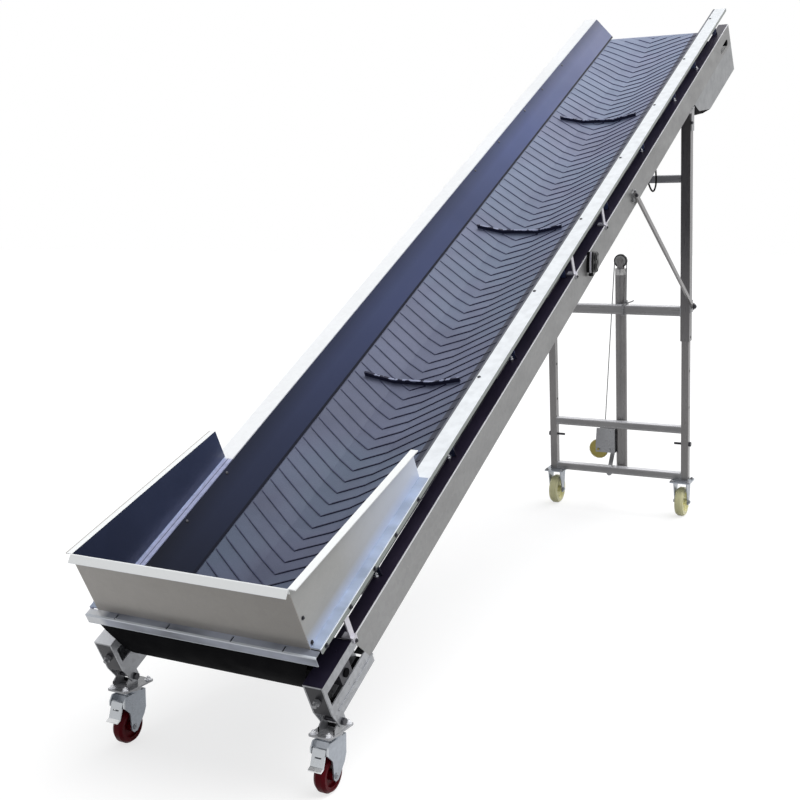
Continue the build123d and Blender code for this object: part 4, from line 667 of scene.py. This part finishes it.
def rib_stretch(mesh, apex, places, height, fewest):
    """A rib through the given places across the belt, cut where the belt turns over a drum."""
    rings = []
    for x in places:
        s = apex + RIB_SLOPE * (abs(x) - RIB_INNER)
        n = belt_top(x, s)
        if TAIL_S + DRUM_GAP < s < HEAD_S - DRUM_GAP:
            rings.append([
                Vector((x, s - RIB_HALF, n - RIB_SINK)),
                Vector((x, s + RIB_HALF, n - RIB_SINK)),
                Vector((x, s + RIB_HALF * 0.8, n + height)),
                Vector((x, s - RIB_HALF * 0.8, n + height)),
            ])
    if len(rings) >= fewest:
        extrude_profile(mesh, rings)


def end_ribs():
    """The herringbone ribs where the belt flattens towards its drums."""
    mesh = bmesh.new()
    arm = (RIB_INNER, 0.04, BELT_HALF_FLAT, 0.11, 0.15, RIB_OUTER)
    tail = [RIB_FIRST - k * RIB_PITCH for k in range(1, RIBS_BEFORE + 1)]
    head = [RIB_PAST + k * RIB_PITCH for k in range(RIBS_PAST)]
    for apex in tail + head:
        for side in (-1, 1):
            rib_stretch(mesh, apex, [side * x for x in arm], RIB_HEIGHT, 2)
    piece("belt_end_ribs", mesh, BED, BELT, "frame")


def rib_tips():
    """The apex of each rib and its outer ends, which reach the skirts."""
    mesh = bmesh.new()
    lap = 0.0004
    lower = 0.0008
    inner = RIB_INNER + lap
    outer = RIB_OUTER - lap
    first = RIB_FIRST - RIBS_BEFORE * RIB_PITCH
    # The last apex lies past the last arms.
    for k in range(RIBS_BEFORE + RIBS + RIBS_PAST + 1):
        for places in ((-inner, 0.0, inner), (outer, 0.220, RIB_END), (-RIB_END, -0.220, -outer)):
            rib_stretch(mesh, first + k * RIB_PITCH, places, RIB_HEIGHT - lower, 3)
    piece("belt_rib_tips", mesh, BED, BELT, "frame")


end_ribs()
rib_tips()


def turned_ring(centre, axis, radius, height, hexagon=False):
    """Twelve points round an axis, on a circle or on a hexagon."""
    axis = Vector(axis).normalized()
    side = axis.orthogonal().normalized()
    across = axis.cross(side)
    middle = Vector(centre) + axis * height
    points = []
    for k in range(12):
        angle = k * math.pi / 6
        reach = radius * (0.866 if hexagon and k % 2 else 1.0)
        points.append(middle + (side * math.cos(angle) + across * math.sin(angle)) * reach)
    return points


def turned(mesh, centre, axis, profile):
    """A round body through the radii and heights of a profile."""
    extrude_profile(mesh, [turned_ring(centre, axis, radius, height) for radius, height in profile])


def hex_bolt(mesh, centre, axis, radius, height):
    """Washer, hexagonal head with a chamfer and a short thread end."""
    extrude_profile(mesh, [
        turned_ring(centre, axis, radius * 1.5, -0.0006),
        turned_ring(centre, axis, radius * 1.5, 0.0012),
        turned_ring(centre, axis, radius, 0.0012, True),
        turned_ring(centre, axis, radius, height * 0.8, True),
        turned_ring(centre, axis, radius * 0.82, height),
        turned_ring(centre, axis, radius * 0.45, height),
        turned_ring(centre, axis, radius * 0.4, height * 1.35),
    ])


def pan_screw(mesh, centre, axis, radius, height):
    """A domed screw head."""
    turned(mesh, centre, axis, (
        (radius, -0.0006), (radius, height * 0.35), (radius * 0.8, height * 0.8), (radius * 0.35, height),
    ))


def fasteners(name, maker, items, place, finish, body="frame"):
    """One piece with a fastener at each (centre, axis, radius, height)."""
    mesh = bmesh.new()
    for item in items:
        maker(mesh, *item)
    piece(name, mesh, place, finish, body)


def mirrored(items):
    """The items and their mirror images across the middle."""
    flipped = []
    for centre, axis, radius, height in items:
        flipped.append(((-centre[0], centre[1], centre[2]), (-axis[0], axis[1], axis[2]), radius, height))
    return list(items) + flipped


def bed_fasteners():
    """Screws, bolts and studs of the skirts, rails, hopper, channels and brace pads."""
    skirt_face = (0.79, 0, 0.61)
    stations = (0.333, 0.565, 2.68, 2.969, 3.313, 3.564, 3.867)
    screws = [((-0.3070, s, 0.0835), skirt_face, 0.006, 0.004) for s in stations]
    fasteners("skirt_screws", pan_screw, screws, BED, DARK_BOLT)
    screws = [((RAIL_MIDDLE, 0.607 + 0.534 * k, 0.0958), UP, 0.006, 0.003) for k in range(1, 8)]
    fasteners("rail_screws", pan_screw, screws, BED, DARK_BOLT)
    bolts = [((0.380, s, 0.0885), OUT, 0.005, 0.005) for s in (-0.036, 0.103, 0.249, 0.387, 0.540)]
    bolts += [((0.348, -0.047, n), OUT, 0.004, 0.004) for n in (0.190, 0.105)]
    fasteners("hopper_bolts", hex_bolt, mirrored(bolts), BED, DARK_BOLT)
    places = ((0.333, 0.310), (0.328, 0.844), (0.332, 1.391), (0.335, 3.010), (0.342, 3.548), (0.355, 3.922))
    studs = [((x, s, 0.0), UP, 0.0065, 0.010) for x, s in places]
    fasteners("flange_studs", hex_bolt, mirrored(studs), BED, STUD)
    bolts = [((0.376, s, -0.012), OUT, 0.0065, 0.007) for s in (0.080, 1.960, 2.341)]
    bolts += [((x, s, n), OUT, 0.0085, 0.007) for x, s, n in ((0.391, 2.703, -0.057), (0.380, 3.654, -0.160))]
    fasteners("side_bolts", hex_bolt, mirrored(bolts), BED, DARK_BOLT)
    bolts = [((0.381, s, n), OUT, 0.005, 0.006) for s, n in ((2.686, -0.074), (2.718, -0.045))]
    fasteners("pad_bolts", hex_bolt, mirrored(bolts), BED, PARTS)


def portal_fasteners():
    """Bolts at the braces' feet, and nuts on the axles and top plates of the rear casters."""
    bolts = [((0.391, 0.0, 1.088), OUT, 0.0125, 0.010)]
    fasteners("brace_foot_bolts", hex_bolt, mirrored(bolts), PORTAL, DARK_BOLT)
    nuts = [((REAR_WHEEL_X + way * 0.030, REAR_AXLE_U, 0.0767), (way, 0, 0), 0.012, 0.009) for way in (1, -1)]
    fasteners("rear_axle_nuts", hex_bolt, mirrored(nuts), PORTAL, PARTS, "lower_portal")
    nuts = [((REAR_WHEEL_X + dx, REAR_AXLE_U + du, 0.190), UP, 0.0075, 0.007)
            for dx in (-0.04, 0.04) for du in (-0.04, 0.04)]
    fasteners("rear_plate_nuts", hex_bolt, mirrored(nuts), PORTAL, PARTS, "lower_portal")


def front_fasteners(side, x):
    """Nuts on a front caster's axle and bolts through its top plate."""
    nuts = [((x + way * 0.023, -0.004, 0.050), (way, 0, 0), 0.009, 0.007) for way in (-1, 1)]
    fasteners("front_axle_nuts_" + side, hex_bolt, nuts, WORLD, PARTS, "front_swivel_" + side)
    holes = [(x + dx, y) for dx in (-0.023, 0.023) for y in (-0.036, 0.064)]
    bolts = [((*hole, 0.168), UP, 0.0075, 0.008) for hole in holes]
    bolts += [((*hole, 0.163), DOWN, 0.0065, 0.004) for hole in holes]
    fasteners("front_plate_bolts_" + side, hex_bolt, bolts, WORLD, STUD, "front_foot_" + side)


bed_fasteners()
portal_fasteners()
front_fasteners("right", FRONT_WHEEL_X)
front_fasteners("left", -FRONT_WHEEL_X)


def wire(mesh, points, radius, sides=8):
    """A round wire along points."""
    spots = [Vector(point) for point in points]
    turns = [k * 2 * math.pi / sides for k in range(sides)]
    side = None
    rings = []
    for k, spot in enumerate(spots):
        run = (spots[min(k + 1, len(spots) - 1)] - spots[max(k - 1, 0)]).normalized()
        side = run.orthogonal() if side is None else side - run * side.dot(run)
        side.normalize()
        across = run.cross(side)
        rings.append([spot + (side * math.cos(turn) + across * math.sin(turn)) * radius for turn in turns])
    extrude_profile(mesh, rings)


def rope_tail():
    """The rope's spare end, wound round the cross tube and left standing out."""
    mesh = bmesh.new()
    half = OUTER_TUBE_HALF + 0.0025
    points = []
    for k in range(3):
        x = 0.026 + 0.009 * k
        for du, dv in ((-1, -1), (1, -1), (1, 1), (-1, 1)):
            points.append((x, half * du, UPPER_CROSS_V + half * dv))
            x += 0.002
    points += [(0.056, -0.030, 1.094), (0.068, -0.034, 1.104), (0.082, -0.035, 1.108), (0.096, -0.034, 1.115)]
    wire(mesh, points, 0.0032)
    piece("rope_tail", mesh, PORTAL, ROPE, "frame")


def mast_collar():
    """A polished sleeve at the mast's head."""
    mesh = bmesh.new()
    turns = [k * math.pi / 24 for k in range(48)]
    rings = []
    for radius, v in ((0.0284, 1.232), (0.0292, 1.234), (0.0292, 1.262), (0.0272, 1.2656)):
        rings.append([
            Vector((radius * math.cos(turn), MAST_U + radius * math.sin(turn), v)) for turn in turns
        ])
    extrude_profile(mesh, rings)
    collar = piece("mast_collar", mesh, PORTAL, BRIGHT, "lower_portal")
    for face in collar.data.polygons:
        face.use_smooth = len(face.vertices) == 4


def weld_beads(name, body, half, level, inset):
    """Uneven beads round both ends of a cross tube."""
    mesh = bmesh.new()
    loop = [(-half, -half), (half, -half), (half, half), (-half, half), (-half, -half)]
    for x in (-inset, inset):
        for (u0, v0), (u1, v1) in zip(loop, loop[1:]):
            spots = []
            for k in range(9):
                share = k / 8
                swell = 0.0006 * (1 if k % 2 else -1)
                spots.append((x + swell, u0 + (u1 - u0) * share, level + v0 + (v1 - v0) * share + swell))
            wire(mesh, spots, 0.0024, 6)
    piece(name, mesh, PORTAL, PARTS, body)


rope_tail()
mast_collar()
weld_beads("outer_welds", "frame", OUTER_TUBE_HALF, UPPER_CROSS_V, 0.330)
weld_beads("inner_welds", "lower_portal", INNER_TUBE_HALF, BOTTOM_CROSS_V, 0.335)


def rounded_ring(x, half_y, half_z, radius):
    """A rounded rectangle across X, round the switch's middle."""
    points = []
    for turn, (sign_y, sign_z) in enumerate(((1, 1), (-1, 1), (-1, -1), (1, -1))):
        for k in range(5):
            angle = math.radians(90 * turn + 22.5 * k)
            y = SWITCH_Y + sign_y * (half_y - radius) + radius * math.cos(angle)
            z = SWITCH_Z + sign_z * (half_z - radius) + radius * math.sin(angle)
            points.append(Vector((x, y, z)))
    return points


def switch_housing():
    """Rounded switch housing with a cable gland below."""
    mesh = bmesh.new()
    extrude_profile(mesh, [
        rounded_ring(0.3765, 0.033, 0.0395, 0.010),
        rounded_ring(0.398, 0.035, 0.0395, 0.010),
        rounded_ring(0.402, 0.031, 0.0355, 0.009),
    ])
    gland = (0.388, SWITCH_Y - 0.012, SWITCH_Z - 0.0385)
    turned(mesh, gland, DOWN, (
        (0.008, 0.0), (0.008, 0.006), (0.0095, 0.007), (0.0095, 0.013), (0.006, 0.015),
    ))
    body = piece("switch_housing", mesh, WORLD, BLACK_PLASTIC, "frame")
    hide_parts("switch_box")


def switch_buttons():
    """Two glossy push buttons in their rings."""
    mesh = bmesh.new()
    profile = (
        (0.0155, 0.0), (0.0155, 0.0035), (0.013, 0.0045), (0.013, 0.0035), (0.0115, 0.0035), (0.0110, 0.0075),
        (0.008, 0.0092),
    )
    for level in (0.018, -0.017):
        turned(mesh, (0.4005, SWITCH_Y, SWITCH_Z + level), OUT, profile)
    piece("switch_buttons", mesh, WORLD, GLOSS_BLACK, "frame")


def switch_bracket():
    """A slightly bowed strip along the housing's front edge."""
    mesh = bmesh.new()
    rings = []
    for k in range(9):
        y = SWITCH_Y - 0.0375 - 0.004 * math.sin(math.pi * k / 8)
        z = SWITCH_Z + 0.040 - 0.010 * k
        rings.append([
            Vector((0.3910, y, z)), Vector((0.3970, y, z)),
            Vector((0.3970, y + 0.0025, z)), Vector((0.3910, y + 0.0025, z)),
        ])
    extrude_profile(mesh, rings)
    piece("switch_bracket", mesh, WORLD, POST_METAL, "frame")


switch_housing()
switch_buttons()
switch_bracket()


def motor_cable():
    """The motor's cable, from the switch box up the channel with one hanging loop."""
    route = [
        (0.3727, 2.112, -0.062), (0.35, 2.112, -0.062), (0.35, 2.202, -0.1047), (0.35, 3.022, -0.1047),
        (0.342, 3.062, -0.0827), (0.312, 3.082, -0.0927), (0.312, 3.106, -0.192), (0.312, 3.158, -0.282),
        (0.312, 3.230, -0.270), (0.312, 3.246, -0.182), (0.312, 3.246, -0.0927), (0.342, 3.270, -0.0827),
        (0.35, 3.318, -0.1047), (0.35, 4.320, -0.1047), (0.35, 4.390, -0.074), (0.35, 4.4347, -0.074),
    ]
    curve = bpy.data.curves.new("motor_cable_line", "CURVE")
    curve.dimensions = "3D"
    line = curve.splines.new("NURBS")
    line.points.add(len(route) - 1)
    for point, place in zip(line.points, route):
        point.co = (*(BED @ Vector(place)), 1.0)
    line.order_u = 3
    line.use_endpoint_u = True
    curve.resolution_u = 12
    curve.bevel_depth = 0.004
    curve.bevel_resolution = 4
    curve.use_fill_caps = True
    curve.materials.append(BLACK_RUBBER)
    cable = bpy.data.objects.new("motor_cable_line", curve)
    bpy.context.scene.collection.objects.link(cable)
    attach(cable, "frame")
    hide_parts("motor_cable")


motor_cable()


# Floor, light and surroundings

FLOOR_HALF = 60.0
FLOOR_GLOW = 0.72


def seen_directly(nodes, links):
    """1 for rays from the camera, a mirror or glass, and 0 for light that bounces."""
    path = nodes.new("ShaderNodeLightPath")
    seen = path.outputs["Is Camera Ray"]
    for other in ("Is Glossy Ray", "Is Transmission Ray"):
        larger = nodes.new("ShaderNodeMath")
        larger.operation = "MAXIMUM"
        links.new(seen, larger.inputs[0])
        links.new(path.outputs[other], larger.inputs[1])
        seen = larger.outputs[0]
    return seen


def floor_surface():
    """A matt pale floor that looks white and still takes shadows."""
    made = Finish("floor_white")
    pale = made.brighten(rgb(160, 160, 160), made.uneven(0.7, 0.995, 1.005))
    made.surface(pale, rough=(0.8, 0.9), bump=0.02, gloss=0.0)
    glow = made.times(seen_directly(made.tree.nodes, made.tree.links), FLOOR_GLOW)
    made.shader.inputs["Emission Color"].default_value = (1, 1, 1, 1)
    made.feed(made.shader.inputs["Emission Strength"], glow)
    return made.material


def pale_floor():
    """A flat floor far wider than the object."""
    mesh = bpy.data.meshes.new("floor")
    corners = [(x * FLOOR_HALF, y * FLOOR_HALF, 0) for x, y in ((-1, -1), (1, -1), (1, 1), (-1, 1))]
    mesh.from_pydata(corners, [], [(0, 1, 2, 3)])
    mesh.materials.append(floor_surface())
    floor = bpy.data.objects.new("floor", mesh)
    bpy.context.scene.collection.objects.link(floor)


def sky_lamp(name, towards, strength, spread):
    """A wide soft lamp far away, in the direction it shines from."""
    lamp = bpy.data.lights.new(name, "SUN")
    lamp.energy = strength
    lamp.angle = math.radians(spread)
    lamp_object = bpy.data.objects.new(name, lamp)
    bpy.context.scene.collection.objects.link(lamp_object)
    lamp_object.rotation_euler = Vector(towards).to_track_quat("Z", "Y").to_euler()


def surroundings():
    """A world that looks white and lights the object softly."""
    world = bpy.data.worlds.new("studio")
    bpy.context.scene.world = world
    world.use_nodes = True
    tree = world.node_tree
    tree.nodes.clear()
    out = tree.nodes.new("ShaderNodeOutputWorld")
    blend = tree.nodes.new("ShaderNodeMixShader")
    seen = tree.nodes.new("ShaderNodeBackground")
    around = tree.nodes.new("ShaderNodeBackground")
    seen.inputs["Color"].default_value = (1, 1, 1, 1)
    seen.inputs["Strength"].default_value = 1.0
    around.inputs["Color"].default_value = (0.97, 0.98, 1.0, 1)
    around.inputs["Strength"].default_value = 0.42
    tree.links.new(seen_directly(tree.nodes, tree.links), blend.inputs[0])
    tree.links.new(around.outputs[0], blend.inputs[1])
    tree.links.new(seen.outputs[0], blend.inputs[2])
    tree.links.new(blend.outputs[0], out.inputs["Surface"])


pale_floor()
sky_lamp("key", (0.30, 0.12, 0.94), 2.1, 55)
sky_lamp("back", (0.15, 0.75, 0.60), 0.8, 30)
surroundings()
bpy.context.scene.view_settings.view_transform = "Standard"
